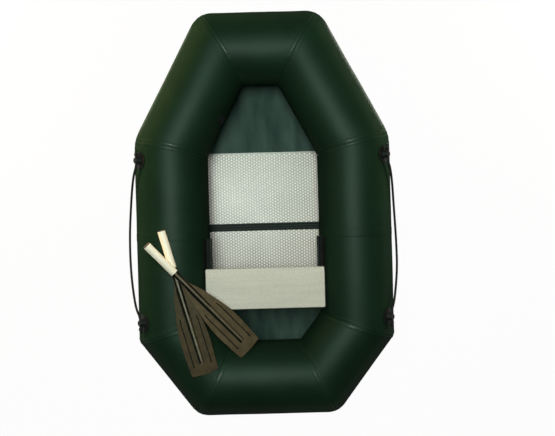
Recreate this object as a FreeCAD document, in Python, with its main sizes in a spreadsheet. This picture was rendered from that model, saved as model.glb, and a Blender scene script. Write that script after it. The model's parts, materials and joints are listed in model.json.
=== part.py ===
"""Inflatable rowing dinghy, 1.9 m: a ring of mitred PVC tubes on a flat bottom sheet, with a sliding
seat board on two bead rails, two floorboards, two hand paddles, two air valves and a grab rope
along each side.

Frame: +Y to the bow, +X to starboard, +Z up, origin on the ground under the middle of the hull.
Lengths are in millimetres and angles in degrees.
"""

import FreeCAD, Part
import math
import os
import re

import Sketcher
from FreeCAD import Placement, Rotation, Vector

X_AXIS, Y_AXIS, Z_AXIS = Vector(1, 0, 0), Vector(0, 1, 0), Vector(0, 0, 1)
SIDES = {"port": -1, "starboard": 1}

SIZES = {
    # plan of the ring, over the inflated tubes
    "overall_length": 1900,
    "overall_beam": 1208,
    "bow_width": 580,
    "stern_width": 662,
    "shoulder_forward": 357,
    "quarter_aft": 590,
    "mid_seam_aft": 100,
    # tubes
    "tube_diameter": 344,
    "fabric": 0.9,
    "bow_corner_radius": 131,
    "stern_corner_radius": 131,
    "baffle_gap": 0.3,
    "glue_line": 0.2,
    # bottom sheet
    "bottom_lap_angle": 15,
    # beads that carry the seat
    "keder_angle": 21,
    "keder_length": 340,
    "keder_seam_gap": 20.3,
    "wing_width": 56,
    "wing_thickness": 1.8,
    "bead_reach": 22,
    "bead_diameter": 14,
    "neck_thickness": 2.6,
    # seat
    "seat_overhang": 24.1,
    "seat_depth": 188,
    "seat_thickness": 15,
    "seat_from_bead_end": 15,
    "seat_corner_radius": 6,
    "seat_edge_bevel": 2,
    "seat_groove_width": 3,
    "seat_groove_depth": 0.8,
    "seat_groove_fore": 79,
    "seat_groove_aft": 125,
    "rail_length": 180,
    "rail_wall": 3,
    "rail_clearance": 0.5,
    "rail_mouth_gap": 1.4,
    "rail_flange_inboard": 34,
    "rail_flange_outboard": 10,
    # floor
    "floorboard_tuck": 77,
    "floorboard_length": 370,
    "floorboard_thickness": 6,
    "floorboard_corner": 40,
    "joiner_aft": 68,
    "joiner_inset": 5,
    "joiner_width": 38,
    "joiner_flange": 2,
    "joiner_web": 3,
    "joiner_ridge_width": 3,
    "joiner_ridge_height": 1.2,
    "joiner_ridge_offset": 6,
    "slot_gap": 0.3,
    # grab rope eyelets
    "eyelet_angle": 41,
    "eyelet_forward": 254,
    "eyelet_aft": 491,
    "patch_diameter": 78,
    "patch_thickness": 2.5,
    "patch_margin": 5,
    "hub_base_diameter": 40,
    "hub_top_diameter": 30,
    "hub_height": 25,
    "hub_edge": 3,
    "rope_hole_height": 15.8,
    "rope_hole_gap": 1.5,
    # grab ropes
    "rope_diameter": 10,
    "rope_sides": 12,
    "knot_diameter": 22,
    "knot_length": 18,
    "knot_standoff": 2.2,
    "rope_lead": 24,
    # air valves
    "valve_angle": 22,
    "fore_valve_from_corner": 300,
    "aft_valve_from_corner": 154,
    "valve_flange_diameter": 46,
    "valve_flange_thickness": 3,
    "valve_barrel_diameter": 32,
    "valve_barrel_length": 20,
    "valve_bore_diameter": 26,
    "valve_seat_thickness": 2.5,
    "valve_port_diameter": 6,
    "valve_port_circle": 15,
    "valve_hole_gap": 0.5,
    "nut_thickness": 5,
    "nut_depth": 3,
    "membrane_thickness": 1.2,
    "membrane_diameter": 24,
    "stud_diameter": 4,
    "stud_head_diameter": 6,
    "stud_head_thickness": 1.5,
    "stud_gap": 0.2,
    "membrane_gap": 0.1,
    "cap_diameter": 40,
    "cap_thickness": 3.5,
    "cap_plug_length": 9,
    "cap_bar_length": 34,
    "cap_bar_width": 5,
    "cap_bar_height": 6,
    "cap_gap": 0.4,
    # paddles
    "grip_length": 171,
    "grip_diameter": 35,
    "grip_wall": 2.6,
    "plug_flange": 4,
    "plug_length": 20,
    "spigot_length": 70,
    "paddle_fit": 0.1,
    "blade_length": 501,
    "blade_width": 137,
    "blade_peak": 308,
    "blade_neck_from": 20,
    "blade_tip_width": 118,
    "blade_shoulder_radius": 600,
    "blade_corner_radius": 14,
    "blade_tip_bulge": 5,
    "blade_thickness": 4,
    "spine_diameter": 24.6,
    "spine_end_diameter": 5,
    "spine_end_from_tip": 40,
    "blade_groove_from": 231,
    "blade_groove_from_tip": 36,
    "blade_groove_offset": 38,
    "blade_groove_width": 4,
    "blade_groove_depth": 1.3,
    "paddle_a_outboard": 80,
    "paddle_a_aft": 129,
    "paddle_a_heading": -48.5,
    "paddle_a_pitch": 12.5,
    "paddle_a_roll": 16,
    "paddle_b_outboard": 25,
    "paddle_b_aft": 68,
    "paddle_b_heading": -74.5,
    "paddle_b_pitch": 1.3,
    "paddle_b_roll": 8,
    "paddle_gap": 0.3,
}

# Bends of the two slack grab ropes between their eyelets, chosen by hand: the distance from the
# middle of the hull, then forward, then up.
ROPE_ROUTES = {
    "port": [
        (592, 192, 276),
        (609, 122, 243),
        (623, 28, 216),
        (633, -70, 202),
        (635, -172, 201),
        (630, -270, 211),
        (617, -355, 236),
        (597, -430, 275),
    ],
    "starboard": [
        (590, 192, 277),
        (602, 122, 247),
        (610, 28, 222),
        (617, -70, 208),
        (622, -172, 201),
        (621, -270, 210),
        (608, -358, 238),
        (591, -430, 275),
    ],
}

# The corners of a polygon start this far from the sketch's origin, until their dimensions set them.
START_REACH = 100

doc = FreeCAD.newDocument("rowing_dinghy")
sheet = doc.addObject("Spreadsheet::Sheet", "sizes")
subparts = []


# ---------------------------------------------------------------- sheet and feature helpers


def fill_sheet():
    """Write each size as a plain number with its name as the cell's alias."""
    for row, (name, value) in enumerate(SIZES.items(), start=1):
        sheet.set(f"A{row}", name)
        sheet.set(f"B{row}", str(value))
        sheet.setAlias(f"B{row}", name)
    doc.recompute()


def size(name):
    """The sheet's value for one name."""
    return float(sheet.get(name))


def bind(item, prop, formula):
    """Tie a property to the sheet: each size named in the formula becomes a reference to its cell."""
    item.setExpression(prop, re.sub(r"[a-z_]+", sheet_name, formula))


def sheet_name(match):
    word = match.group()
    return f"sizes.{word}" if word in SIZES else word


def new_body(label):
    """A PartDesign body that is one sub-part."""
    body = doc.addObject("PartDesign::Body", label)
    body.Label = label
    subparts.append(body)
    return body


def new_feature(kind, label):
    """A Part object that is one sub-part."""
    item = doc.addObject(kind, label)
    item.Label = label
    subparts.append(item)
    return item


def group(label, items):
    """Make one sub-part of several alike pieces."""
    for item in items:
        subparts.remove(item)
    compound = new_feature("Part::Compound", label)
    compound.Links = items


def origin_plane(body, role):
    return next(item for item in body.Origin.OriginFeatures if item.Role == role)


def new_sketch(body, role, offset=None):
    """A sketch on one of the body's own origin planes: XY_Plane, XZ_Plane or YZ_Plane."""
    sketch = body.newObject("Sketcher::SketchObject", "sketch")
    sketch.AttachmentSupport = [(origin_plane(body, role), "")]
    sketch.MapMode = "FlatFace"
    if offset is not None:
        sketch.AttachmentOffset = offset
    return sketch


def set_datum(sketch, constraint, value):
    """Add a dimension whose value is a number or a formula of sheet names."""
    index = sketch.addConstraint(constraint)
    if isinstance(value, str):
        bind(sketch, f"Constraints[{index}]", value)
    else:
        sketch.setDatum(index, value)


def locate(sketch, geometry, point, x, y):
    """Dimension a point of the geometry from the sketch's origin."""
    place = sketch.getPoint(geometry, point)
    set_datum(sketch, Sketcher.Constraint("DistanceX", -1, 1, geometry, point, place.x), x)
    set_datum(sketch, Sketcher.Constraint("DistanceY", -1, 1, geometry, point, place.y), y)


def outline(sketch, corners):
    """A closed polygon; each corner is (x, y), numbers or formulas."""
    count = len(corners)
    spread = [Rotation(Z_AXIS, 360 * i / count).multVec(X_AXIS * START_REACH) for i in range(count)]
    lines = [
        sketch.addGeometry(Part.LineSegment(spread[i], spread[(i + 1) % count]), False)
        for i in range(count)
    ]
    for i, line in enumerate(lines):
        sketch.addConstraint(Sketcher.Constraint("Coincident", line, 2, lines[(i + 1) % count], 1))
        locate(sketch, line, 1, *corners[i])
    return lines


def circle(sketch, diameter, x=0.0, y=0.0):
    """A circle with a bound diameter and a dimensioned centre."""
    ring = sketch.addGeometry(Part.Circle(Vector(1, 1, 0), Z_AXIS, 10), False)
    set_datum(sketch, Sketcher.Constraint("Diameter", ring, 20.0), diameter)
    locate(sketch, ring, 3, x, y)
    return ring


def set_length(feature, prop, value):
    if isinstance(value, str):
        bind(feature, prop, value)
    else:
        setattr(feature, prop, value)


def pad(body, sketch, length, both_ways=False, reverse=False):
    before = body.Tip
    feature = body.newObject("PartDesign::Pad", "pad")
    feature.Profile = sketch
    feature.SideType = "Symmetric" if both_ways else "One side"
    feature.Reversed = reverse
    set_length(feature, "Length", length)
    return checked(body, feature, before, 1)


def pocket(body, sketch, length=None, both_ways=False, reverse=False):
    """A pocket of the given depth, or through everything when no length is given."""
    before = body.Tip
    feature = body.newObject("PartDesign::Pocket", "pocket")
    feature.Profile = sketch
    feature.SideType = "Symmetric" if both_ways else "One side"
    feature.Reversed = reverse
    if length is None:
        feature.Type = "ThroughAll"
    else:
        set_length(feature, "Length", length)
    return checked(body, feature, before, -1)


def revolve(body, sketch, angle=360.0, axis="V_Axis", reverse=False):
    before = body.Tip
    feature = body.newObject("PartDesign::Revolution", "revolution")
    feature.Profile = sketch
    feature.ReferenceAxis = (sketch, [axis])
    feature.Reversed = reverse
    set_length(feature, "Angle", angle)
    return checked(body, feature, before, 1)


def checked(body, feature, before, sign):
    """Recompute, and stop if the feature didn't add (sign 1) or remove (sign -1) material."""
    body.Tip = feature
    doc.recompute()
    old = before.Shape.Volume if before is not None else 0.0
    change = feature.Shape.Volume - old
    if change * sign <= 0:
        raise RuntimeError(f"{body.Label}: {feature.Name} changed the volume by {change:.4f}")
    return feature


def round_edges(body, radius, wanted, kind="PartDesign::Fillet"):
    """Fillet (or chamfer) the edges of the body's last feature for which wanted(edge) is true."""
    base = body.Tip
    names = [f"Edge{i}" for i, edge in enumerate(base.Shape.Edges, start=1) if wanted(edge)]
    feature = body.newObject(kind, "edges")
    feature.Base = (base, names)
    set_length(feature, "Radius" if kind.endswith("Fillet") else "Size", radius)
    body.Tip = feature
    doc.recompute()
    return feature


def side_rotation(side):
    """Turns a shape made for the port side, inboard along +X, to face inboard from either side."""
    return Rotation(Z_AXIS, 0 if SIDES[side] < 0 else 180)


# ---------------------------------------------------------------- plan of the ring


def tube_radius():
    return size("tube_diameter") / 2


def tube_height():
    """Height of the tubes' centre line: they lie on the bottom sheet and its glue."""
    return size("fabric") + size("glue_line") + tube_radius()


def outer_corners():
    """Corners of the ring's outer plan, clockwise from the starboard bow: (place, radius), where a
    radius of 0 is a plain mitre."""
    half_length, half_beam = size("overall_length") / 2, size("overall_beam") / 2
    starboard = [
        (size("bow_width") / 2, half_length, size("bow_corner_radius")),
        (half_beam, size("shoulder_forward"), 0.0),
        (half_beam, -size("quarter_aft"), 0.0),
        (size("stern_width") / 2, -half_length, size("stern_corner_radius")),
    ]
    port = [(-x, y, radius) for x, y, radius in reversed(starboard)]
    return [(Vector(x, y, 0), radius) for x, y, radius in starboard + port]


def centre_corners():
    """The same corners on the tubes' centre line: (place, half of the turn there, corner radius)."""
    outer = outer_corners()
    found = []
    for i, (place, radius) in enumerate(outer):
        before = (place - outer[i - 1][0]).normalize()
        after = (outer[(i + 1) % len(outer)][0] - place).normalize()
        half_turn = math.degrees(before.getAngle(after)) / 2
        inward = (after - before).normalize()
        inset = tube_radius() / math.cos(math.radians(half_turn))
        centre = place + inward * inset + Vector(0, 0, tube_height())
        found.append((centre, half_turn, radius))
    return found


def ring_panels():
    """Each tube panel as (label, start, end), clockwise; an end is (place, half turn, radius)."""
    starboard_bow, starboard_shoulder, starboard_quarter, starboard_stern = centre_corners()[:4]
    port_stern, port_quarter, port_shoulder, port_bow = centre_corners()[4:]
    side = size("overall_beam") / 2 - tube_radius()
    seam = [(Vector(x, -size("mid_seam_aft"), tube_height()), 0.0, 0.0) for x in (-side, side)]
    return [
        ("bow_tube", port_bow, starboard_bow),
        ("starboard_bow_tube", starboard_bow, starboard_shoulder),
        ("starboard_fore_side_tube", starboard_shoulder, seam[1]),
        ("starboard_aft_side_tube", seam[1], starboard_quarter),
        ("starboard_quarter_tube", starboard_quarter, starboard_stern),
        ("stern_tube", starboard_stern, port_stern),
        ("port_quarter_tube", port_stern, port_quarter),
        ("port_aft_side_tube", port_quarter, seam[0]),
        ("port_fore_side_tube", seam[0], port_shoulder),
        ("port_bow_tube", port_shoulder, port_bow),
    ]


# ---------------------------------------------------------------- hull


def tube_panel(label, start, end, valve_at=None):
    """One panel of the ring: a thin tube mitred to its neighbours. Its own frame has X along the
    tube and Y outwards. At the bow and stern corners a gore rounds the outer part of the mitre, so
    the plan is rounded outside and sharp inside."""
    run = end[0] - start[0]
    body = new_body(label)
    ring = new_sketch(body, "YZ_Plane", Placement(Vector(0, 0, -size("tube_diameter")), Rotation()))
    circle(ring, "tube_diameter")
    circle(ring, "tube_diameter - 2 * fabric")
    pad(body, ring, run.Length + 2 * size("tube_diameter"))

    ends = [(0.0, -1, start), (run.Length, 1, end)]
    square = new_sketch(body, "XY_Plane")
    for station, way, (_, half_turn, radius) in ends:
        outline(square, waste_before_gore(station, way, half_turn, radius))
    pocket(body, square, both_ways=True)
    gores = [corner for corner in ends if corner[2][2] > 0]
    for station, way, (_, half_turn, radius) in gores:
        pad_gore(body, station, way, half_turn, radius)
    if gores:
        mitres = new_sketch(body, "XY_Plane")
        for station, way, (_, half_turn, _) in gores:
            outline(mitres, waste_beyond_mitre(station, way, half_turn))
        pocket(body, mitres, both_ways=True)

    if valve_at is not None:
        cut_valve_hole(body, valve_at)
    heading = math.degrees(math.atan2(run.y, run.x))
    body.Placement = Placement(start[0], Rotation(Z_AXIS, heading))
    return body


def gore_inset(radius):
    """How far outside the centre line the upright axis of a rounded corner stands."""
    return tube_radius() - radius


def waste_beyond_mitre(station, way, half_turn):
    """Plan of everything beyond one end's mitre."""
    slope = math.tan(math.radians(half_turn)) * way
    reach = size("tube_diameter")
    beyond = station + way * 2 * reach
    return [
        (station - slope * reach, -reach),
        (station + slope * reach, reach),
        (beyond, reach),
        (beyond, -reach),
    ]


def waste_before_gore(station, way, half_turn, radius):
    """Plan of what is cut off beyond one end: along the mitre inside the corner's upright axis,
    and square across the tube outside it, where a gore follows."""
    if radius == 0:
        return waste_beyond_mitre(station, way, half_turn)
    slope = math.tan(math.radians(half_turn)) * way
    reach, knee = size("tube_diameter"), gore_inset(radius)
    beyond = station + way * 2 * reach
    return [
        (station - slope * reach, -reach),
        (station + slope * knee, knee),
        (station + slope * knee, reach),
        (beyond, reach),
        (beyond, -reach),
    ]


def pad_gore(body, station, way, half_turn, radius):
    """Lead the tube's outer part on past the square cut, leaning inwards by two thirds of the half
    turn, so that the corner bends three times by the same angle."""
    knee = gore_inset(radius)
    across = station + way * math.tan(math.radians(half_turn)) * knee
    sketch = new_sketch(body, "YZ_Plane", Placement(Vector(knee, 0, across), Rotation()))
    arcs = []
    for bare, diameter in (
        (tube_radius(), "tube_diameter"),
        (tube_radius() - size("fabric"), "tube_diameter - 2 * fabric"),
    ):
        half = math.acos(knee / bare)
        arc = Part.ArcOfCircle(Part.Circle(Vector(-knee, 0, 0), Z_AXIS, bare), -half, half)
        index = sketch.addGeometry(arc, False)
        set_datum(sketch, Sketcher.Constraint("Diameter", index, 2 * bare), diameter)
        locate(sketch, index, 3, -knee, 0.0)
        for point in (1, 2):
            sketch.addConstraint(Sketcher.Constraint("PointOnObject", index, point, -2))
        arcs.append((index, bare * math.sin(half)))
    (outer, outer_top), (inner, inner_top) = arcs
    for point, sign in ((1, -1), (2, 1)):
        line = Part.LineSegment(Vector(0, sign * outer_top, 0), Vector(0, sign * inner_top, 0))
        index = sketch.addGeometry(line, False)
        sketch.addConstraint(Sketcher.Constraint("Coincident", index, 1, outer, point))
        sketch.addConstraint(Sketcher.Constraint("Coincident", index, 2, inner, point))
    lean = math.radians(half_turn * 2 / 3)
    before = body.Tip
    gore = body.newObject("PartDesign::Pad", "gore")
    gore.Profile = sketch
    gore.Length = radius
    gore.UseCustomVector = True
    gore.Direction = Vector(way * math.cos(lean), -math.sin(lean), 0)
    checked(body, gore, before, 1)


def cut_valve_hole(body, along):
    """A round hole on the inner side of the tube, square to its wall at the valve's angle."""
    lean = Rotation(X_AXIS, 90 - size("valve_angle"))
    sketch = new_sketch(body, "XY_Plane", Placement(Vector(along, 0, 0), lean))
    circle(sketch, "valve_barrel_diameter + 2 * valve_hole_gap")
    pocket(body, sketch, "tube_diameter", reverse=True)


def baffle(side):
    """The fabric disc inside the mid-side seam that parts the fore and aft air chambers."""
    body = new_body(f"{side}_baffle")
    sketch = new_sketch(body, "XZ_Plane")
    circle(sketch, "tube_diameter - 2 * fabric - 2 * baffle_gap")
    pad(body, sketch, "fabric", both_ways=True)
    centre = SIDES[side] * (size("overall_beam") / 2 - tube_radius())
    body.Placement.Base = Vector(centre, -size("mid_seam_aft"), tube_height())


def bottom_sheet():
    """A flat sheet as large as the ring's centre line, with a margin lapped up the tubes' outer
    underside all round."""
    item = new_feature("Part::Feature", "bottom_sheet")
    inner = [Vector(place.x, place.y, 0) for place, _, _ in centre_corners()]
    outer = [place for place, _ in outer_corners()]
    plan = Part.Face(Part.makePolygon(inner + inner[:1]))
    flat = plan.extrude(Vector(0, 0, size("fabric")))
    laps = []
    for i, start in enumerate(inner):
        after = (i + 1) % len(inner)
        laps.append(lap_strip(start, inner[after], outer[after], outer[i]))
    item.Shape = flat.fuse(laps).removeSplitter()


def lap_strip(start, end, outer_end, outer_start):
    """The lapped margin along one side: an arc band swept along it, mitred at the corners."""
    run = end - start
    margin = run.normalize() * size("tube_diameter")
    inner = tube_radius() + size("glue_line")
    outer = inner + size("fabric")
    axis = start - margin + Vector(0, 0, outer)
    outward = Rotation(Z_AXIS, 90).multVec(run)
    low = [axis - Vector(0, 0, radius) for radius in (inner, outer)]
    lean = [Rotation(run, size("bottom_lap_angle") * part) for part in (0.5, 1)]
    middle, high = (
        [axis + turn.multVec(point - axis) for point in low] for turn in lean
    )
    band = Part.Face(
        Part.Wire(
            [
                Part.Arc(low[0], middle[0], high[0]).toShape(),
                Part.LineSegment(high[0], high[1]).toShape(),
                Part.Arc(high[1], middle[1], low[1]).toShape(),
                Part.LineSegment(low[1], low[0]).toShape(),
            ]
        )
    )
    strip = band.extrude(end - start + 2 * margin)
    corners = [start, end, outer_end, outer_start]
    mitred = Part.Face(Part.makePolygon(corners + corners[:1]))
    return strip.common(mitred.extrude(Vector(0, 0, size("tube_diameter"))))


def arc_band(sketch, inner, outer, span, centre=(0.0, 0.0)):
    """A closed band between two arcs about one centre. Each radius is (value, formula)."""
    ends = {1: [], 2: []}
    for radius, formula in (inner, outer):
        arc = Part.ArcOfCircle(Part.Circle(Vector(*centre, 0), Z_AXIS, radius), *span)
        index = sketch.addGeometry(arc, False)
        set_datum(sketch, Sketcher.Constraint("Radius", index, radius), formula)
        locate(sketch, index, 3, *centre)
        for point in (1, 2):
            place = sketch.getPoint(index, point)
            set_datum(
                sketch, Sketcher.Constraint("DistanceX", -1, 1, index, point, place.x), place.x
            )
            ends[point].append((index, place))
    for point, ((near, near_place), (far, far_place)) in ends.items():
        index = sketch.addGeometry(Part.LineSegment(near_place, far_place), False)
        sketch.addConstraint(Sketcher.Constraint("Coincident", index, 1, near, point))
        sketch.addConstraint(Sketcher.Constraint("Coincident", index, 2, far, point))


# ---------------------------------------------------------------- seat and its beads


def keder_middle():
    """How far forward the middle of the beads is: their aft ends stop short of the quarter seams."""
    corner, half_turn, _ = centre_corners()[2]
    seam = corner.y + tube_radius() * math.tan(math.radians(half_turn))
    return seam + size("keder_seam_gap") + size("keder_length") / 2


def seat_middle():
    """How far forward the middle of the seat is: its rails rest near the aft ends of the beads."""
    bead_end = keder_middle() - size("keder_length") / 2
    return bead_end + size("seat_from_bead_end") + size("rail_length") / 2


def bead_place(side):
    """Centre of the bead's section at the middle of the bead."""
    angle = math.radians(size("keder_angle"))
    reach = tube_radius() + size("bead_reach")
    inboard = size("overall_beam") / 2 - tube_radius() - reach * math.cos(angle)
    height = tube_height() + reach * math.sin(angle)
    return Vector(SIDES[side] * inboard, keder_middle(), height)


def keder(side):
    """A rubber wing glued to the tube, with a neck and a round bead along it. Drawn with the tube's
    centre line along Y and the neck along X."""
    body = new_body(f"{side}_keder")
    wing = new_sketch(body, "XZ_Plane")
    inner = tube_radius() + size("glue_line")
    half = size("wing_width") / 2 / inner
    arc_band(
        wing,
        (inner, "tube_diameter / 2 + glue_line"),
        (inner + size("wing_thickness"), "tube_diameter / 2 + glue_line + wing_thickness"),
        (-half, half),
    )
    pad(body, wing, "keder_length", both_ways=True)
    neck = new_sketch(body, "XZ_Plane")
    rectangle(
        neck,
        "tube_diameter / 2 + glue_line + wing_thickness / 2",
        "-neck_thickness / 2",
        "tube_diameter / 2 + bead_reach",
        "neck_thickness / 2",
    )
    pad(body, neck, "keder_length", both_ways=True)
    bead = new_sketch(body, "XZ_Plane")
    circle(bead, "bead_diameter", "tube_diameter / 2 + bead_reach")
    pad(body, bead, "keder_length", both_ways=True)
    axis = Vector(
        SIDES[side] * (size("overall_beam") / 2 - tube_radius()),
        keder_middle(),
        tube_height(),
    )
    lean = Rotation(Y_AXIS, -size("keder_angle"))
    body.Placement = Placement(axis, side_rotation(side) * lean)


def rail_flange_top():
    """Height of the rails' flat top, under the seat, above the bead's centre."""
    return size("bead_diameter") / 2 + size("rail_clearance") + size("rail_wall")


def seat_rail(side):
    """A C-section that slides along the bead, with a flange screwed under the seat."""
    body = new_body(f"{side}_seat_rail")
    outside = "bead_diameter + 2 * rail_clearance + 2 * rail_wall"
    wall = new_sketch(body, "XZ_Plane")
    circle(wall, outside)
    pad(body, wall, "rail_length", both_ways=True)
    flange = new_sketch(body, "XZ_Plane")
    top = "bead_diameter / 2 + rail_clearance + rail_wall"
    rectangle(
        flange,
        "-rail_flange_outboard",
        "bead_diameter / 2 + rail_clearance",
        "rail_flange_inboard",
        top,
    )
    pad(body, flange, "rail_length", both_ways=True)
    bore = new_sketch(body, "XZ_Plane")
    circle(bore, "bead_diameter + 2 * rail_clearance")
    pocket(body, bore, both_ways=True)
    mouth = new_sketch(body, "XZ_Plane")
    lean = math.radians(size("keder_angle"))
    half = size("neck_thickness") / 2 + size("rail_mouth_gap")
    reach = size("bead_diameter")
    outline(
        mouth,
        [
            (
                -along * math.cos(lean) - across * math.sin(lean),
                -along * math.sin(lean) + across * math.cos(lean),
            )
            for along, across in ((0, -half), (reach, -half), (reach, half), (0, half))
        ],
    )
    pocket(body, mouth, both_ways=True)
    place = bead_place(side)
    body.Placement = Placement(Vector(place.x, seat_middle(), place.z), side_rotation(side))


def seat_board():
    """A flat board across the boat and past both beads, with two shallow grooves along its top."""
    body = new_body("seat_board")
    plan = new_sketch(body, "XY_Plane")
    half = f"({bead_place('starboard').x} + seat_overhang)"
    rectangle(plan, f"-{half}", "-seat_depth / 2", half, "seat_depth / 2")
    pad(body, plan, "seat_thickness")
    round_edges(body, "seat_corner_radius", upright)
    top = size("seat_thickness")
    rim = lambda edge: edge.BoundBox.ZMin > top - 0.01
    round_edges(body, "seat_edge_bevel", rim, "PartDesign::Chamfer")
    grooves = new_sketch(body, "XY_Plane", Placement(Vector(0, 0, top), Rotation()))
    for name in ("seat_groove_fore", "seat_groove_aft"):
        rectangle(
            grooves,
            f"-2 * {half}",
            f"seat_depth / 2 - {name} - seat_groove_width / 2",
            f"2 * {half}",
            f"seat_depth / 2 - {name} + seat_groove_width / 2",
        )
    pocket(body, grooves, "seat_groove_depth")
    height = bead_place("port").z + rail_flange_top()
    body.Placement.Base = Vector(0, seat_middle(), height)


def upright(edge):
    return edge.BoundBox.XLength < 0.01 and edge.BoundBox.YLength < 0.01


def rectangle(sketch, left, low, right, high):
    outline(sketch, [(left, low), (right, low), (right, high), (left, high)])


# ---------------------------------------------------------------- floor


# Half of a floorboard's width across the boat.
FLOORBOARD_HALF = "overall_beam / 2 - tube_diameter / 2 - floorboard_tuck"


def joiner_base():
    """Height of the joiner's underside, just clear of the bottom sheet."""
    return size("fabric") + size("slot_gap")


def floorboard(label, way):
    """A thin rigid plate; way is 1 for the fore board and -1 for the aft one. Its ends tuck under
    the side tubes, and the corners away from the joiner are cut off. Drawn with Y away from the
    joiner."""
    body = new_body(label)
    plan = new_sketch(body, "XY_Plane")
    half = f"({FLOORBOARD_HALF})"
    far, cut = "floorboard_length", "floorboard_corner"
    outline(
        plan,
        [
            (f"-{half}", 0.0),
            (half, 0.0),
            (half, f"{far} - {cut}"),
            (f"{half} - {cut}", far),
            (f"-{half} + {cut}", far),
            (f"-{half}", f"{far} - {cut}"),
        ],
    )
    pad(body, plan, "floorboard_thickness")
    step = size("joiner_web") / 2 + size("slot_gap")
    height = joiner_base() + size("joiner_flange") + size("slot_gap")
    place = Vector(0, -size("joiner_aft") + way * step, height)
    body.Placement = Placement(place, Rotation(Z_AXIS, 0 if way > 0 else 180))


def floorboard_joiner():
    """H-section strip that holds the two boards' edges, with a low ridge along its top."""
    body = new_body("floorboard_joiner")
    section = new_sketch(body, "YZ_Plane")
    side, web = "joiner_width / 2", "joiner_web / 2"
    low = "joiner_flange"
    high = "joiner_flange + floorboard_thickness + 2 * slot_gap"
    top = "2 * joiner_flange + floorboard_thickness + 2 * slot_gap"
    crest = f"{top} + joiner_ridge_height"
    ridge_aft = "joiner_ridge_offset - joiner_ridge_width / 2"
    ridge_fore = "joiner_ridge_offset + joiner_ridge_width / 2"
    outline(
        section,
        [
            (f"-{side}", 0.0),
            (side, 0.0),
            (side, low),
            (web, low),
            (web, high),
            (side, high),
            (side, top),
            (ridge_fore, top),
            (ridge_fore, crest),
            (ridge_aft, crest),
            (ridge_aft, top),
            (f"-{side}", top),
            (f"-{side}", high),
            (f"-{web}", high),
            (f"-{web}", low),
            (f"-{side}", low),
        ],
    )
    pad(body, section, f"2 * ({FLOORBOARD_HALF} - joiner_inset)", both_ways=True)
    body.Placement.Base = Vector(0, -size("joiner_aft"), joiner_base())


# ---------------------------------------------------------------- grab ropes


def eyelet(side, forward):
    """A round rubber patch glued on the tube with a pierced hub. Drawn with the tube's centre line
    along Y and the hub pointing up along Z."""
    body = new_body("eyelet")
    band = new_sketch(body, "XZ_Plane")
    inner = tube_radius() + size("glue_line")
    half = math.asin((size("patch_diameter") / 2 + size("patch_margin")) / inner)
    arc_band(
        band,
        (inner, "tube_diameter / 2 + glue_line"),
        (inner + size("patch_thickness"), "tube_diameter / 2 + glue_line + patch_thickness"),
        (math.pi / 2 - half, math.pi / 2 + half),
    )
    pad(body, band, "patch_diameter + 2 * patch_margin", both_ways=True)
    trim = new_sketch(body, "XY_Plane")
    circle(trim, "patch_diameter")
    circle(trim, "3 * patch_diameter")
    pocket(body, trim, both_ways=True)
    hub = new_sketch(body, "XZ_Plane")
    foot = "tube_diameter / 2 + glue_line + patch_thickness / 2"
    outline(
        hub,
        [
            (0.0, foot),
            ("hub_base_diameter / 2", foot),
            ("hub_top_diameter / 2", "tube_diameter / 2 + hub_height - hub_edge"),
            ("hub_top_diameter / 2 - hub_edge", "tube_diameter / 2 + hub_height"),
            (0.0, "tube_diameter / 2 + hub_height"),
        ],
    )
    revolve(body, hub)
    hole = new_sketch(body, "XZ_Plane")
    circle(
        hole, "rope_diameter + 2 * rope_hole_gap", 0.0, "tube_diameter / 2 + rope_hole_height"
    )
    pocket(body, hole, both_ways=True)
    axis = Vector(
        SIDES[side] * (size("overall_beam") / 2 - tube_radius()), forward, tube_height()
    )
    body.Placement = Placement(axis, Rotation(Y_AXIS, SIDES[side] * (90 - size("eyelet_angle"))))
    return body


def rope_hole(side, forward):
    """Middle of an eyelet's hole."""
    angle = math.radians(size("eyelet_angle"))
    reach = tube_radius() + size("rope_hole_height")
    out = size("overall_beam") / 2 - tube_radius() + reach * math.cos(angle)
    return Vector(SIDES[side] * out, forward, tube_height() + reach * math.sin(angle))


def hub_half_width():
    """Half of the hub's width at the height of its hole."""
    foot = size("glue_line") + size("patch_thickness") / 2
    rise = (size("rope_hole_height") - foot) / (size("hub_height") - size("hub_edge") - foot)
    wide, narrow = size("hub_base_diameter") / 2, size("hub_top_diameter") / 2
    return wide + rise * (narrow - wide)


def rope_ends(side):
    """Where the rope meets its two knots, just beyond the outer faces of the eyelets' hubs."""
    beyond = hub_half_width() + size("knot_standoff")
    fore = rope_hole(side, size("eyelet_forward")) + Vector(0, beyond, 0)
    aft = rope_hole(side, -size("eyelet_aft")) - Vector(0, beyond, 0)
    return fore, aft


def rope_points(side):
    """The rope runs straight through both holes, as far as the leads, and hangs in between."""
    fore, aft = rope_ends(side)
    lead = Vector(0, size("rope_lead"), 0)
    leads = [
        rope_hole(side, size("eyelet_forward")) - lead,
        rope_hole(side, -size("eyelet_aft")) + lead,
    ]
    bends = [Vector(SIDES[side] * out, forward, up) for out, forward, up in ROPE_ROUTES[side]]
    return [fore, leads[0]] + bends + [leads[1], aft]


def smooth_path(points):
    """Straight runs joined by tangent arcs through a list of points, and the arcs' radii."""
    edges, radii = [], []
    leave = points[0]
    for before, corner, after in zip(points, points[1:], points[2:]):
        back, onward = (before - corner), (after - corner)
        reach = 0.45 * min(back.Length, onward.Length)
        back.normalize()
        onward.normalize()
        half_turn = (math.pi - back.getAngle(onward)) / 2
        radius = reach / math.tan(half_turn)
        enter, exit_ = corner + back * reach, corner + onward * reach
        middle = (back + onward).normalize()
        centre = corner + middle * (radius / math.cos(half_turn))
        crown = centre - middle * radius
        edges.append(Part.LineSegment(leave, enter).toShape())
        edges.append(Part.Arc(enter, crown, exit_).toShape())
        radii.append(radius)
        leave = exit_
    edges.append(Part.LineSegment(leave, points[-1]).toShape())
    return Part.Wire(edges), radii


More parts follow.
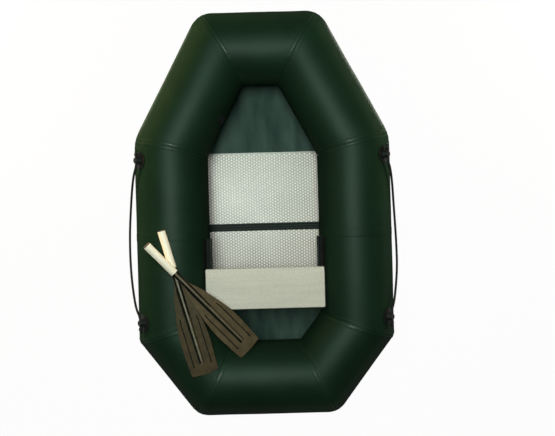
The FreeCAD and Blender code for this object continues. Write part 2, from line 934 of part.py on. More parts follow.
def grab_rope(side):
    item = new_feature("Part::Feature", f"{side}_grab_rope")
    path, radii = smooth_path(rope_points(side))
    start, sides = path.Edges[0], int(size("rope_sides"))
    middle, ahead = start.Vertexes[0].Point, start.tangentAt(0)
    spoke = ahead.cross(Z_AXIS).normalize() * (size("rope_diameter") / 2)
    corners = [middle + Rotation(ahead, 360 * i / sides).multVec(spoke) for i in range(sides)]
    section = Part.Face(Part.makePolygon(corners + corners[:1]))
    item.Shape = path.makePipe(section)
    expected = section.Area * path.Length
    print(
        f"{item.Label}: length {path.Length:.1f}, smallest bend radius {min(radii):.1f}, "
        f"volume {item.Shape.Volume:.0f} against {expected:.0f}"
    )
    print("  bend radii", [round(radius) for radius in radii])


def rope_knots(side):
    """The stopper knots at both ends of one rope, as turned bulges."""
    body = new_body(f"{side}_rope_knots")
    body.AllowCompound = True
    fore, aft = rope_ends(side)
    for end, way in ((fore, 1), (aft, -1)):
        sketch = new_sketch(body, "YZ_Plane")
        base = end.y - fore.y
        outline(
            sketch,
            [
                (base, 0.0),
                (base, "knot_diameter / 3"),
                (f"{base} + {way} * knot_length / 2", "knot_diameter / 2"),
                (f"{base} + {way} * knot_length", "knot_diameter / 3"),
                (f"{base} + {way} * knot_length", 0.0),
            ],
        )
        revolve(body, sketch, axis="H_Axis")
    body.Placement.Base = fore


# ---------------------------------------------------------------- air valves


def valve_frame(panel_label, from_corner):
    """Placement of a valve: origin on the tube's centre line, Z square out through the wall."""
    start, end = next((a[0], b[0]) for label, a, b in ring_panels() if label == panel_label)
    along = (end - start).normalize()
    heading = Rotation(Z_AXIS, math.degrees(math.atan2(along.y, along.x)))
    lean = Rotation(X_AXIS, 90 - size("valve_angle"))
    return Placement(start + along * from_corner, heading * lean)


def valve_body(frame):
    """Flanged barrel with a pierced seat plate at its inner end."""
    body = new_body("valve_body")
    profile = new_sketch(body, "XZ_Plane")
    under = "tube_diameter / 2 + slot_gap"
    foot = f"{under} - valve_barrel_length"
    bore = "valve_bore_diameter / 2"
    outline(
        profile,
        [
            (bore, f"{under} + valve_flange_thickness"),
            ("valve_flange_diameter / 2", f"{under} + valve_flange_thickness"),
            ("valve_flange_diameter / 2", under),
            ("valve_barrel_diameter / 2", under),
            ("valve_barrel_diameter / 2", foot),
            ("stud_diameter / 2 + stud_gap", foot),
            ("stud_diameter / 2 + stud_gap", f"{foot} + valve_seat_thickness"),
            (bore, f"{foot} + valve_seat_thickness"),
        ],
    )
    revolve(body, profile)
    ports = new_sketch(body, "XY_Plane")
    for x, y in ((1, 0), (0, 1), (-1, 0), (0, -1)):
        circle(
            ports,
            "valve_port_diameter",
            f"{x} * valve_port_circle / 2",
            f"{y} * valve_port_circle / 2",
        )
    pocket(body, ports, reverse=True)
    body.Placement = frame
    return body


def valve_nut(frame):
    """Ring nut inside the tube, which clamps the fabric against the flange."""
    body = new_body("valve_nut")
    plan = new_sketch(body, "XY_Plane")
    circle(plan, "valve_flange_diameter")
    circle(plan, "valve_barrel_diameter + 2 * slot_gap")
    pad(body, plan, "nut_thickness", reverse=True)
    body.Placement = frame * Placement(
        Vector(0, 0, tube_radius() - size("nut_depth")), Rotation()
    )
    return body


def valve_membrane(frame):
    """Rubber check membrane under the seat plate, held by its own headed stud."""
    body = new_body("valve_membrane")
    profile = new_sketch(body, "XZ_Plane")
    plate = "tube_diameter / 2 + slot_gap - valve_barrel_length - membrane_gap"
    neck = f"{plate} + valve_seat_thickness + 2 * membrane_gap"
    outline(
        profile,
        [
            (0.0, f"{plate} - membrane_thickness"),
            ("membrane_diameter / 2", f"{plate} - membrane_thickness"),
            ("membrane_diameter / 2", plate),
            ("stud_diameter / 2", plate),
            ("stud_diameter / 2", neck),
            ("stud_head_diameter / 2", neck),
            ("stud_head_diameter / 2", f"{neck} + stud_head_thickness"),
            (0.0, f"{neck} + stud_head_thickness"),
        ],
    )
    revolve(body, profile)
    body.Placement = frame
    return body


def valve_cap(label, frame):
    """Quarter-turn cap: a disc with a plug into the bore and a bar to turn it by."""
    body = new_body(label)
    plan = new_sketch(body, "XY_Plane")
    circle(plan, "cap_diameter")
    pad(body, plan, "cap_thickness")
    plug = new_sketch(body, "XY_Plane")
    circle(plug, "valve_bore_diameter - 2 * cap_gap")
    pad(body, plug, "cap_plug_length", reverse=True)
    bar = new_sketch(body, "XY_Plane")
    rectangle(
        bar, "-cap_bar_length / 2", "-cap_bar_width / 2", "cap_bar_length / 2", "cap_bar_width / 2"
    )
    pad(body, bar, "cap_thickness + cap_bar_height")
    under = tube_radius() + size("slot_gap") + size("valve_flange_thickness") + size("cap_gap")
    body.Placement = frame * Placement(Vector(0, 0, under), Rotation())
    print(f"{label}: at {tuple(round(v, 2) for v in body.Placement.Base)}", end=" ")
    print(f"axis {tuple(round(v, 5) for v in body.Placement.Rotation.multVec(Z_AXIS))}")


# ---------------------------------------------------------------- paddles


def paddle_grip(label):
    """Grip tube, drawn along X from the paddle's end."""
    body = new_body(label)
    ring = new_sketch(
        body, "YZ_Plane", Placement(Vector(0, 0, size("plug_flange")), Rotation())
    )
    circle(ring, "grip_diameter")
    circle(ring, "grip_diameter - 2 * grip_wall")
    pad(body, ring, "grip_length")
    return body


def paddle_plug(label):
    """Plug in the grip's open end."""
    body = new_body(label)
    profile = new_sketch(body, "XY_Plane")
    spigot = "grip_diameter / 2 - grip_wall - paddle_fit"
    outline(
        profile,
        [
            (0.0, 0.0),
            ("plug_flange + plug_length", 0.0),
            ("plug_flange + plug_length", spigot),
            ("plug_flange", spigot),
            ("plug_flange", "grip_diameter / 2"),
            (0.0, "grip_diameter / 2"),
        ],
    )
    revolve(body, profile, axis="H_Axis")
    return body


def paddle_blade(label):
    """Flat blade with a tapering spine that ends as a spigot in the grip."""
    body = new_body(label)
    plan = new_sketch(body, "XY_Plane")
    root = "plug_flange + grip_length"
    half = [
        (f"{root} + blade_neck_from", "spine_diameter / 2"),
        (f"{root} + blade_peak", "blade_width / 2"),
        (f"{root} + blade_length - blade_tip_bulge", "blade_tip_width / 2"),
    ]
    mirrored = [(x, f"-({y})") for x, y in reversed(half)]
    outline(plan, half + [(f"{root} + blade_length", 0.0)] + mirrored)
    pad(body, plan, "blade_thickness", both_ways=True)
    start = size("plug_flange") + size("grip_length")
    peak = start + size("blade_peak")
    tip = start + size("blade_length") - size("blade_tip_bulge")
    shoulder = lambda edge: upright(edge) and abs(edge.BoundBox.Center.x - peak) < 0.01
    round_edges(body, "blade_shoulder_radius", shoulder)
    corner = lambda edge: upright(edge) and abs(edge.BoundBox.Center.x - tip) < 0.01
    round_edges(body, "blade_corner_radius", corner)
    spine = new_sketch(body, "XY_Plane")
    spigot = "grip_diameter / 2 - grip_wall - paddle_fit"
    outline(
        spine,
        [
            (f"{root} - spigot_length", 0.0),
            (f"{root} + blade_length - spine_end_from_tip", 0.0),
            (f"{root} + blade_length - spine_end_from_tip", "spine_end_diameter / 2"),
            (root, "spine_diameter / 2"),
            (root, spigot),
            (f"{root} - spigot_length", spigot),
        ],
    )
    revolve(body, spine, axis="H_Axis")
    for face in (1, -1):
        level = Placement(Vector(0, 0, face * size("blade_thickness") / 2), Rotation())
        grooves = new_sketch(body, "XY_Plane", level)
        for row in (1, -1):
            middle = f"{row} * blade_groove_offset"
            rectangle(
                grooves,
                f"{root} + blade_groove_from",
                f"{middle} - blade_groove_width / 2",
                f"{root} + blade_length - blade_groove_from_tip",
                f"{middle} + blade_groove_width / 2",
            )
        pocket(body, grooves, "blade_groove_depth", reverse=face < 0)
    return body


def paddle(name, rests_on):
    """One paddle, laid with its grip's end over the port tube and lowered with its heading, pitch
    and roll until it all but touches."""
    parts = [
        paddle_plug(f"{name}_end_plug"),
        paddle_grip(f"{name}_grip"),
        paddle_blade(f"{name}_blade"),
    ]
    x = tube_radius() - size("overall_beam") / 2 - size(f"{name}_outboard")
    y = -size(f"{name}_aft")
    turn = (
        Rotation(Z_AXIS, size(f"{name}_heading"))
        * Rotation(Y_AXIS, size(f"{name}_pitch"))
        * Rotation(X_AXIS, -size(f"{name}_roll"))
    )
    whole = Part.makeCompound([part.Shape for part in parts[1:]])
    whole.Placement = Placement(Vector(x, y, 2 * size("tube_diameter")), turn)
    drop = lowering(whole, rests_on)
    for part in parts:
        part.Placement = Placement(Vector(x, y, 2 * size("tube_diameter") - drop), turn)
    place = parts[0].Placement
    nose = place.multVec(Vector(size("plug_flange") + size("grip_length") + size("blade_length"), 0, 0))
    print(f"{name}: end at {tuple(round(v, 1) for v in place.Base)}", end=" ")
    print(f"tip at {tuple(round(v, 1) for v in nose)}")
    return parts


def lowering(shape, supports):
    """How far a shape can drop straight down before it comes within the paddles' gap of any of the
    supports."""
    moved, drop = shape.copy(), 0.0
    for _ in range(60):
        room = min(moved.distToShape(item.Shape)[0] for item in supports) - size("paddle_gap")
        if room < 0.005:
            break
        moved.translate(Vector(0, 0, -room))
        drop += room
    return drop


# ---------------------------------------------------------------- build


def build():
    os.makedirs("parts", exist_ok=True)
    fill_sheet()
    runs = {label: (end[0] - start[0]).Length for label, start, end in ring_panels()}
    valve_stations = {
        "port_bow_tube": runs["port_bow_tube"] - size("fore_valve_from_corner"),
        "port_quarter_tube": size("aft_valve_from_corner"),
    }
    panels = {}
    for label, start, end in ring_panels():
        panels[label] = tube_panel(label, start, end, valve_stations.get(label))
    for side in SIDES:
        baffle(side)
    bottom_sheet()

    for side in SIDES:
        keder(side)
        seat_rail(side)
    seat_board()

    floorboard("fore_floorboard", 1)
    floorboard("aft_floorboard", -1)
    floorboard_joiner()

    for side in SIDES:
        places = (size("eyelet_forward"), -size("eyelet_aft"))
        group(f"{side}_rope_eyelets", [eyelet(side, forward) for forward in places])
        grab_rope(side)
        rope_knots(side)

    places = {
        "fore": valve_frame("port_bow_tube", valve_stations["port_bow_tube"]),
        "aft": valve_frame("port_quarter_tube", valve_stations["port_quarter_tube"]),
    }
    group("valve_bodies", [valve_body(frame) for frame in places.values()])
    group("valve_nuts", [valve_nut(frame) for frame in places.values()])
    group("valve_membranes", [valve_membrane(frame) for frame in places.values()])
    for name, frame in places.items():
        valve_cap(f"{name}_valve_cap", frame)

    under = [
        panels[label]
        for label in ("port_fore_side_tube", "port_aft_side_tube", "port_quarter_tube", "stern_tube")
    ]
    doc.recompute()
    lower = paddle("paddle_b", under)
    paddle("paddle_a", under + lower)

    doc.recompute()
    for item in doc.Objects:
        if {"Invalid", "Error"} & set(item.State):
            raise RuntimeError(f"{item.Label}: {item.State}")
    for item in subparts:
        if item.Shape.isNull() or not item.Shape.isValid():
            raise RuntimeError(f"{item.Label}: the shape isn't valid")
        item.Shape.exportStep(f"parts/{item.Label}.step")
    print(len(subparts), "sub-parts")


build()
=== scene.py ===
"""Looks of the inflatable rowing dinghy: the pieces that stand for its inflated ring, bottom
sheet, ropes and blades, the floorboards' bosses, the materials, and a camera and lights. Metres, in
the model's own frame: +Y to the bow, +X to starboard, +Z up."""

import json
import math

import bpy
from mathutils import Matrix, Vector, noise


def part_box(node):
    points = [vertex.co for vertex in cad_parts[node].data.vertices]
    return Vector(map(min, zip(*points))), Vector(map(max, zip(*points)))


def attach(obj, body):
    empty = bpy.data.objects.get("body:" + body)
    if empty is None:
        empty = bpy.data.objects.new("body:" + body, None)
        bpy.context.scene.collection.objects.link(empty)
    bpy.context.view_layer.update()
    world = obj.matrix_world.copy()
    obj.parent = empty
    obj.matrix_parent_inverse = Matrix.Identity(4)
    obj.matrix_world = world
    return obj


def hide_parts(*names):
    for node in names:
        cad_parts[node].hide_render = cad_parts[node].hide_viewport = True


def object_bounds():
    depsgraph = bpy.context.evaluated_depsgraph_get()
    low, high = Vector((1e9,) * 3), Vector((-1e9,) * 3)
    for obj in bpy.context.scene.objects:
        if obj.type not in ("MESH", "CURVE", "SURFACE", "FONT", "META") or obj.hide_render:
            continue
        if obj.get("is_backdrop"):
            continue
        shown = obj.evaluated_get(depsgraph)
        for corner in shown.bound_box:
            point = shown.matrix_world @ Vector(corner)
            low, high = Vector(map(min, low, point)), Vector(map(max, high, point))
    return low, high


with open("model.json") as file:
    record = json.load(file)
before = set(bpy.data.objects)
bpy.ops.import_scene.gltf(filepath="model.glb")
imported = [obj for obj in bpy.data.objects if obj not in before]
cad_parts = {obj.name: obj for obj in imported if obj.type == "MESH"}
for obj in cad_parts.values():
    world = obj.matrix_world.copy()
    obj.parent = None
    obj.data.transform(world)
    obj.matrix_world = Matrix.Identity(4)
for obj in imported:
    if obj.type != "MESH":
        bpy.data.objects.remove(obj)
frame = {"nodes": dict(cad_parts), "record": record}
cad_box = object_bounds()
nodes = frame["nodes"]

SIDES = {"port": -1, "starboard": 1}
# Where in the noise the fabric's unevenness is read.
SEED_SHIFT = Vector((3.7, 1.9, 5.3))


# ---------------------------------------------------------------- camera

# The camera looks straight down. Its turn is in degrees, its lens and sensor are in millimetres.
CAMERA_HEIGHT = 3.3
CAMERA_PLACE = (0.0646, -0.0261)
CAMERA_TURN = -1.55
CAMERA_LENS = 42.60
CAMERA_SENSOR = 36.0


def add_camera():
    data = bpy.data.cameras.new("camera")
    data.lens = CAMERA_LENS
    data.sensor_width = CAMERA_SENSOR
    camera = bpy.data.objects.new("camera", data)
    camera.location = (*CAMERA_PLACE, CAMERA_HEIGHT)
    camera.rotation_euler = (0, 0, math.radians(CAMERA_TURN))
    bpy.context.scene.collection.objects.link(camera)
    bpy.context.scene.camera = camera


add_camera()


# ---------------------------------------------------------------- mesh helpers


def add_mesh(name, points, faces, smooth=True):
    mesh = bpy.data.meshes.new(name)
    mesh.from_pydata([tuple(point) for point in points], [], faces)
    mesh.update()
    mesh.polygons.foreach_set("use_smooth", [smooth] * len(mesh.polygons))
    obj = bpy.data.objects.new(name, mesh)
    bpy.context.scene.collection.objects.link(obj)
    return obj


def grid_faces(columns, rows, closed_columns=False, closed_rows=False):
    """Faces of a grid of points stored column by column."""
    faces = []
    for i in range(columns if closed_columns else columns - 1):
        for j in range(rows if closed_rows else rows - 1):
            after, up = (i + 1) % columns, (j + 1) % rows
            faces.append((i * rows + j, after * rows + j, after * rows + up, i * rows + up))
    return faces


def set_uvs(obj, uv_of_vertex):
    layer = obj.data.uv_layers.new(name="uv")
    for loop in obj.data.loops:
        layer.data[loop.index].uv = uv_of_vertex[loop.vertex_index]


def smoothstep(low, high, value):
    share = min(1.0, max(0.0, (value - low) / (high - low)))
    return share * share * (3 - 2 * share)


# ---------------------------------------------------------------- grab ropes

ROPE_DIAMETER = 0.010
ROPE_STEP = 0.0018
# How far a rope runs straight out of its eyelets' holes, towards the other one and to its knot.
ROPE_LEAD = 0.024
KNOT_GAP = 0.0187
# Where the eyelets' holes are: out from the middle, up, and forward for the fore and aft one.
ROPE_HOLE_OUT = 0.57388
ROPE_HOLE_UP = 0.29641
EYELETS_FORWARD = (0.254, -0.491)

# The plait: length of one turn of its strands, their number each way, mean and relief by radius.
PLAIT_TURN = 0.011
PLAIT_STRANDS = 4
PLAIT_MEAN = 1.05
PLAIT_RELIEF = 0.06

# The knots: size of a lobe, distance of their middle from the rope's end, and how much thinner
# than the rope the tightened turns and the short tail are.
KNOT_SIZE = 0.0022
KNOT_MIDDLE = 0.0085
KNOT_DEPTH = 1.9
KNOT_POINTS = 96
KNOT_TIGHTNESS = 0.80
TAIL_TIGHTNESS = 0.90
TAIL_STEP = 0.0015
KNOT_AROUND = 14
# A tail's bends from the rope's end: out, on along the rope, up.
TAIL_ROUTE = [(0, 0.011, -0.002), (0.001, 0.021, -0.004), (0.002, 0.028, -0.011)]

# The bends of each rope between its eyelets: out from the middle, forward, up.
ROPE_ROUTES = {
    "port": [
        (0.592, 0.192, 0.276),
        (0.609, 0.122, 0.243),
        (0.623, 0.028, 0.216),
        (0.633, -0.070, 0.202),
        (0.635, -0.172, 0.201),
        (0.630, -0.270, 0.211),
        (0.617, -0.355, 0.236),
        (0.597, -0.430, 0.275),
    ],
    "starboard": [
        (0.590, 0.192, 0.277),
        (0.602, 0.122, 0.247),
        (0.610, 0.028, 0.222),
        (0.617, -0.070, 0.208),
        (0.622, -0.172, 0.201),
        (0.621, -0.270, 0.210),
        (0.608, -0.358, 0.238),
        (0.591, -0.430, 0.275),
    ],
}


def rope_points(side):
    fore, aft = EYELETS_FORWARD
    hole = Vector((SIDES[side] * ROPE_HOLE_OUT, 0, ROPE_HOLE_UP))
    points = [hole + Vector((0, fore + KNOT_GAP, 0)), hole + Vector((0, fore - ROPE_LEAD, 0))]
    points += [Vector((SIDES[side] * out, forward, up)) for out, forward, up in ROPE_ROUTES[side]]
    points += [hole + Vector((0, aft + ROPE_LEAD, 0)), hole + Vector((0, aft - KNOT_GAP, 0))]
    return points


def spline_points(name, control_points, resolution):
    """Points along a quadratic NURBS spline."""
    curve = bpy.data.curves.new(name, "CURVE")
    curve.dimensions = "3D"
    curve.resolution_u = resolution
    spline = curve.splines.new("NURBS")
    spline.points.add(len(control_points) - 1)
    for point, place in zip(spline.points, control_points):
        point.co = (*place, 1.0)
    spline.order_u = 3
    spline.use_endpoint_u = True
    route = bpy.data.objects.new(name, curve)
    bpy.context.scene.collection.objects.link(route)
    bpy.context.view_layer.update()
    line = bpy.data.meshes.new_from_object(route)
    points = [vertex.co.copy() for vertex in line.vertices]
    bpy.data.objects.remove(route)
    bpy.data.curves.remove(curve)
    bpy.data.meshes.remove(line)
    return points


def even_steps(points, step):
    """Points about one step apart along a line of points, with both its ends."""
    lengths = [(b - a).length for a, b in zip(points, points[1:])]
    count = max(2, round(sum(lengths) / step))
    spacing = sum(lengths) / count
    found, run, i = [points[0].copy()], 0.0, 0
    for k in range(1, count):
        while run + lengths[i] < k * spacing:
            run += lengths[i]
            i += 1
        found.append(points[i].lerp(points[i + 1], (k * spacing - run) / lengths[i]))
    found.append(points[-1].copy())
    return found


def frames_along(points, closed=False):
    """An untwisted pair of cross directions at each point of a line."""
    found, side = [], None
    for i, point in enumerate(points):
        before = points[i - 1] if closed or i else point
        after = points[(i + 1) % len(points)] if closed or i + 1 < len(points) else point
        ahead = (after - before).normalized()
        if side is None:
            side = ahead.orthogonal().normalized()
        side = (side - ahead * side.dot(ahead)).normalized()
        found.append((side, ahead.cross(side)))
    return found


def braided_tube(name, points, radius, closed=False, around=20):
    """A round rope with the low relief of its plait."""
    ring_points, run = [], 0.0
    for i, (point, (side, over)) in enumerate(zip(points, frames_along(points, closed))):
        if i:
            run += (point - points[i - 1]).length
        for j in range(around):
            angle = 2 * math.pi * j / around
            twist = 2 * math.pi * run / PLAIT_TURN
            strand = PLAIT_STRANDS * angle
            relief = math.cos(strand + twist) * math.cos(strand - twist)
            reach = radius * (PLAIT_MEAN + PLAIT_RELIEF * relief)
            ring_points.append(point + (side * math.cos(angle) + over * math.sin(angle)) * reach)
    faces = grid_faces(len(points), around, closed_columns=closed, closed_rows=True)
    if not closed:
        faces.append(tuple(range(around)))
        last = (len(points) - 1) * around
        faces.append(tuple(last + j for j in reversed(range(around))))
    return add_mesh(name, ring_points, faces)


def stopper_knot(name, place, way):
    """A tight overhand knot: a closed trefoil."""
    loop = []
    for i in range(KNOT_POINTS):
        turn = 2 * math.pi * i / KNOT_POINTS
        reach = 2.0 + math.cos(3 * turn)
        across = KNOT_SIZE * reach * math.cos(2 * turn)
        up = KNOT_SIZE * reach * math.sin(2 * turn)
        along = KNOT_MIDDLE + KNOT_DEPTH * KNOT_SIZE * math.sin(3 * turn)
        loop.append(place + Vector((across, way * along, up)))
    radius = ROPE_DIAMETER / 2 * KNOT_TIGHTNESS
    return braided_tube(name, loop, radius, closed=True, around=KNOT_AROUND)


def knot_tail(name, place, way):
    """The rope's short end, which droops from the knot."""
    side = math.copysign(1, place.x)
    line = [place + Vector((out * side, way * along, up)) for out, along, up in TAIL_ROUTE]
    points = even_steps(spline_points(name, line, 12), TAIL_STEP)
    return braided_tube(name, points, ROPE_DIAMETER / 2 * TAIL_TIGHTNESS, around=KNOT_AROUND)


def add_ropes():
    """Both grab ropes with their knots. Returns every piece of them."""
    pieces = []
    for side in SIDES:
        points = even_steps(spline_points(f"{side}_route", rope_points(side), 24), ROPE_STEP)
        rope = braided_tube(f"{side}_rope", points, ROPE_DIAMETER / 2)
        knots = []
        for end, place, way in (("fore", points[0], 1), ("aft", points[-1], -1)):
            knots.append(stopper_knot(f"{side}_{end}_knot", place, way))
            knots.append(knot_tail(f"{side}_{end}_rope_tail", place, way))
        for piece in [rope] + knots:
            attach(piece, "hull")
        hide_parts(f"{side}_grab_rope")
        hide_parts(f"{side}_rope_knots")
        length = sum((b - a).length for a, b in zip(points, points[1:]))
        print(f"{side} rope: {length:.4f} m")
        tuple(points[0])
        pieces += [rope] + knots
    return pieces


rope_pieces = add_ropes()


# ---------------------------------------------------------------- hull

TUBE_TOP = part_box("bow_tube")[1].z
TUBE_RADIUS = (TUBE_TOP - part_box("bow_tube")[0].z) / 2
TUBE_HEIGHT = TUBE_TOP - TUBE_RADIUS
HALF_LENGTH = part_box("bow_tube")[1].y
HALF_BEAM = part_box("starboard_fore_side_tube")[1].x
BOW_HALF_WIDTH = 0.290
STERN_HALF_WIDTH = 0.331
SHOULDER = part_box("starboard_fore_side_tube")[1].y
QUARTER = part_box("starboard_aft_side_tube")[0].y
MID_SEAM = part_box("starboard_aft_side_tube")[1].y

# Plan roundings of the ring's outer edge at each kind of corner. Further in, all corners share a
# rounding, given on the tubes' centre line with its growth from there to the outer edge. The last
# is how softly the larger of the two takes over.
CORNER_RADII = {"bow": 0.120, "shoulder": 0.230, "mid": 0.2, "quarter": 0.055, "stern": 0.112}
INNER_CORNER_RADIUS = 0.024
INNER_CORNER_GROWTH = 0.88
CORNER_BLEND = 0.02

# Points of the skin around a tube, at these distances on both sides of each seam, and between.
AROUND = 160
NEAR_SEAM = (0.0011, 0.0022, 0.0038, 0.0065, 0.0095, 0.0130, 0.0155, 0.0168, 0.0180, 0.0194)
NEAR_SEAM += (0.0215, 0.0255, 0.0310, 0.0375, 0.0450, 0.0535, 0.0630)
BETWEEN_SEAMS = 13
COLUMN_WIDTH = 0.0095


def plan_corners():
    """Outer corners of the ring clockwise from the starboard bow, mid seams among them."""
    starboard = [
        ("bow", BOW_HALF_WIDTH, HALF_LENGTH),
        ("shoulder", HALF_BEAM, SHOULDER),
        ("mid", HALF_BEAM, MID_SEAM),
        ("quarter", HALF_BEAM, QUARTER),
        ("stern", STERN_HALF_WIDTH, -HALF_LENGTH),
    ]
    port = [(kind, -x, y) for kind, x, y in reversed(starboard)]
    return [(kind, Vector((x, y, 0))) for kind, x, y in starboard + port]


def seams():
    """At each corner: its kind, place on the centre line, way out, half turn and the way on."""
    corners, found = plan_corners(), []
    for i, (kind, place) in enumerate(corners):
        arrive = (place - corners[i - 1][1]).normalized()
        leave = (corners[(i + 1) % len(corners)][1] - place).normalized()
        half_turn = arrive.angle(leave, 0.0) / 2
        along = (arrive + leave).normalized()
        outward = Vector((-along.y, along.x, 0))
        centre = place - outward * TUBE_RADIUS / math.cos(half_turn)
        found.append((kind, centre, outward, half_turn, leave))
    return found


SEAMS = seams()


def turned(way, angle):
    return Matrix.Rotation(angle, 3, "Z") @ way


def bend(seam, offset):
    """The arc that a line at an offset outside the centre line makes round a seam: its centre and
    radius."""
    kind, centre, outward, half_turn = seam[:4]
    outer = offset - TUBE_RADIUS + CORNER_RADII[kind]
    inner = INNER_CORNER_RADIUS * (1.0 + INNER_CORNER_GROWTH * offset / TUBE_RADIUS)
    radius = 0.5 * (outer + inner + math.hypot(outer - inner, CORNER_BLEND))
    return centre + outward * ((offset - radius) / math.cos(half_turn)), radius


def beside_seam(seam, offset, distance):
    """Plan point at a signed distance along the skin past a seam's middle, and the way out."""
    outward, half_turn = seam[2:4]
    axis, radius = bend(seam, offset)
    swing = min(half_turn, abs(distance) / radius)
    way = turned(outward, -math.copysign(swing, distance))
    straight = abs(distance) - swing * radius
    ahead = turned(way, -math.pi / 2) * math.copysign(straight, distance)
    return axis + way * radius + ahead, way


def run_length(seam, following, offset):
    """Length of the skin from one seam's middle to the next one's."""
    axis, radius = bend(seam, offset)
    next_axis, next_radius = bend(following, offset)
    half_turn, leave = seam[3:]
    return (next_axis - axis).dot(leave) + radius * half_turn + next_radius * following[3]


def plan_ring(offset):
    """Plan points of the whole ring at an offset: (place, way out, distance past the last seam,
    distance to the next seam, seam before)."""
    ring = []
    for i, seam in enumerate(SEAMS):
        following = SEAMS[(i + 1) % len(SEAMS)]
        run = run_length(seam, following, offset)
        near, far = NEAR_SEAM[-1], run - NEAR_SEAM[-1]
        steps = [k / (BETWEEN_SEAMS + 1) for k in range(1, BETWEEN_SEAMS + 1)]
        stations = [0.0, *NEAR_SEAM] + [near + (far - near) * step for step in steps]
        for past in stations:
            place, way = beside_seam(seam, offset, past)
            ring.append((place, way, past, run - past, i))
        for ahead in reversed(NEAR_SEAM):
            place, way = beside_seam(following, offset, -ahead)
            ring.append((place, way, run - ahead, ahead, i))
    return ring


# The strip glued over each seam: half its width, half its edge's width and its rise. Between these
# two distances from the middle lies the weld, glossier and a little paler as a painted glint.
SEAM_TAPE_HALF = 0.0174
SEAM_TAPE_EDGE = 0.0007
SEAM_TAPE_RISE = 0.0009
WELD = (0.0065, 0.0095)
SEAM_CREASE = {"bow": 0.0011, "shoulder": 0.0009, "mid": 0.0, "quarter": 0.0003, "stern": 0.0005}
SEAM_CREASE_REACH = 0.0026
SEAM_REACH = 0.12
PUCKER_DEPTH = 0.0007
PUCKER_REACH = 0.016
PUCKER_PITCH = 0.034
# Puckers fade in over this part of a tube's half width, from its crest to its side by the well.
PUCKER_SHARES = (-0.15, 0.75)
PUCKER_WANDER = 5.0
# The skin's own unevenness: how often per metre, and how high. The skin sinks by about as much,
# so that the ring stays in its box.
SLOW_DENTS = (5.5, 0.0011)
FINE_DENTS = (21, 0.0003)
SKIN_SINK = 0.0008


def seam_relief(index, distance, angle):
    """Height of the skin near a seam: its glued strip, the crease in the middle of it, and slight
    puckers where the bend is tight."""
    if distance > SEAM_REACH:
        return 0.0
    kind = SEAMS[index][0]
    edge = smoothstep(SEAM_TAPE_HALF - SEAM_TAPE_EDGE, SEAM_TAPE_HALF + SEAM_TAPE_EDGE, distance)
    strip = SEAM_TAPE_RISE * (1 - edge)
    crease = SEAM_CREASE[kind] * math.exp(-((distance / SEAM_CREASE_REACH) ** 2))
    if kind == "mid":
        return strip
    inner = smoothstep(*PUCKER_SHARES, -math.cos(angle))
    wander = PUCKER_WANDER * noise.noise(Vector((index * 3.1, angle * 1.7, 0.4)) + SEED_SHIFT)
    wave = 0.5 + 0.5 * math.cos(angle * TUBE_RADIUS * 2 * math.pi / PUCKER_PITCH + wander)
    pucker = PUCKER_DEPTH * inner * wave * math.exp(-((distance / PUCKER_REACH) ** 2))
    return strip - crease - pucker


def skin_relief(place, angle):
    """The slight unevenness of inflated coated fabric."""
    spot = Vector((place.x, place.y, math.sin(angle) * TUBE_RADIUS))
    dents = (SLOW_DENTS, FINE_DENTS)
    return sum(height * noise.noise(spot * often + SEED_SHIFT) for often, height in dents)


def welded_faces(ring):
    """For each face of the ring, column by column, whether the weld's glossier finish, with its
    painted glint, goes there.
    """
    low, high = WELD
    welded = []
    for c, (_, _, past, ahead, seam) in enumerate(ring):
        _, _, next_past, next_ahead, _ = ring[(c + 1) % len(ring)]
        gaps = ((past + next_past) / 2, seam), ((ahead + next_ahead) / 2, (seam + 1) % len(SEAMS))
        shows = any(low < gap < high for gap, index in gaps if SEAMS[index][0] != "mid")
        welded += [shows] * AROUND
    return welded


def add_hull():
    """The inflated ring, and for each of its faces whether the weld's finish, with its painted
    glint, goes there.
    """
    rings = []
    for j in range(AROUND):
        angle = 2 * math.pi * j / AROUND
        rings.append((angle, plan_ring(TUBE_RADIUS * math.cos(angle))))
    columns = len(rings[0][1])
    points, uvs = [], []
    for c in range(columns):
        for angle, ring in rings:
            place, way, past, ahead, seam = ring[c]
            following = (seam + 1) % len(SEAMS)
            relief = seam_relief(seam, past, angle) + seam_relief(following, ahead, angle)
            relief += skin_relief(place, angle) - SKIN_SINK
            point = place + way * (relief * math.cos(angle))
            point.z = TUBE_HEIGHT + (TUBE_RADIUS + relief) * math.sin(angle)
            points.append(point)
            uvs.append((c * COLUMN_WIDTH, angle * TUBE_RADIUS))
    faces = grid_faces(columns, AROUND, closed_columns=True, closed_rows=True)
    hull = add_mesh("hull_tubes", points, [face[::-1] for face in faces])
    set_uvs(hull, uvs)
    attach(hull, "hull")
    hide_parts(*[name for name in nodes if name.endswith("_tube")])
    return hull, welded_faces(rings[0][1])


hull, hull_welded = add_hull()


# ---------------------------------------------------------------- bottom sheet

SHEET_THICKNESS = 0.0009
SHEET_LAP = math.radians(15)
SHEET_LAP_STEPS = 6
# The lap lies just outside the tubes' skin.
SHEET_RADIUS = TUBE_RADIUS + 0.0011
# Rings of points from the middle to the edge, and the innermost one's share of the way.
SHEET_RINGS = 70
SHEET_INNER_SHARE = 0.02
BOARDS_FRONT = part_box("fore_floorboard")[1].y
BOARDS_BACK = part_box("aft_floorboard")[0].y
# Waves start just beyond the boards and have their full height this far from them, and this far
# inside the tubes' centre line.
WAVE_START = 0.005
BOW_WAVE_REACH = 0.10
STERN_WAVE_REACH = 0.08
EDGE_WAVE_REACH = 0.10
WAVES_ACROSS, WAVES_ALONG = 9.0, 5.0
BOW_WAVE, BOW_RIDGE, STERN_WAVE = 0.0035, 0.0035, 0.003
RIDGES_ACROSS = 46
RIDGE_WANDER = 2.2


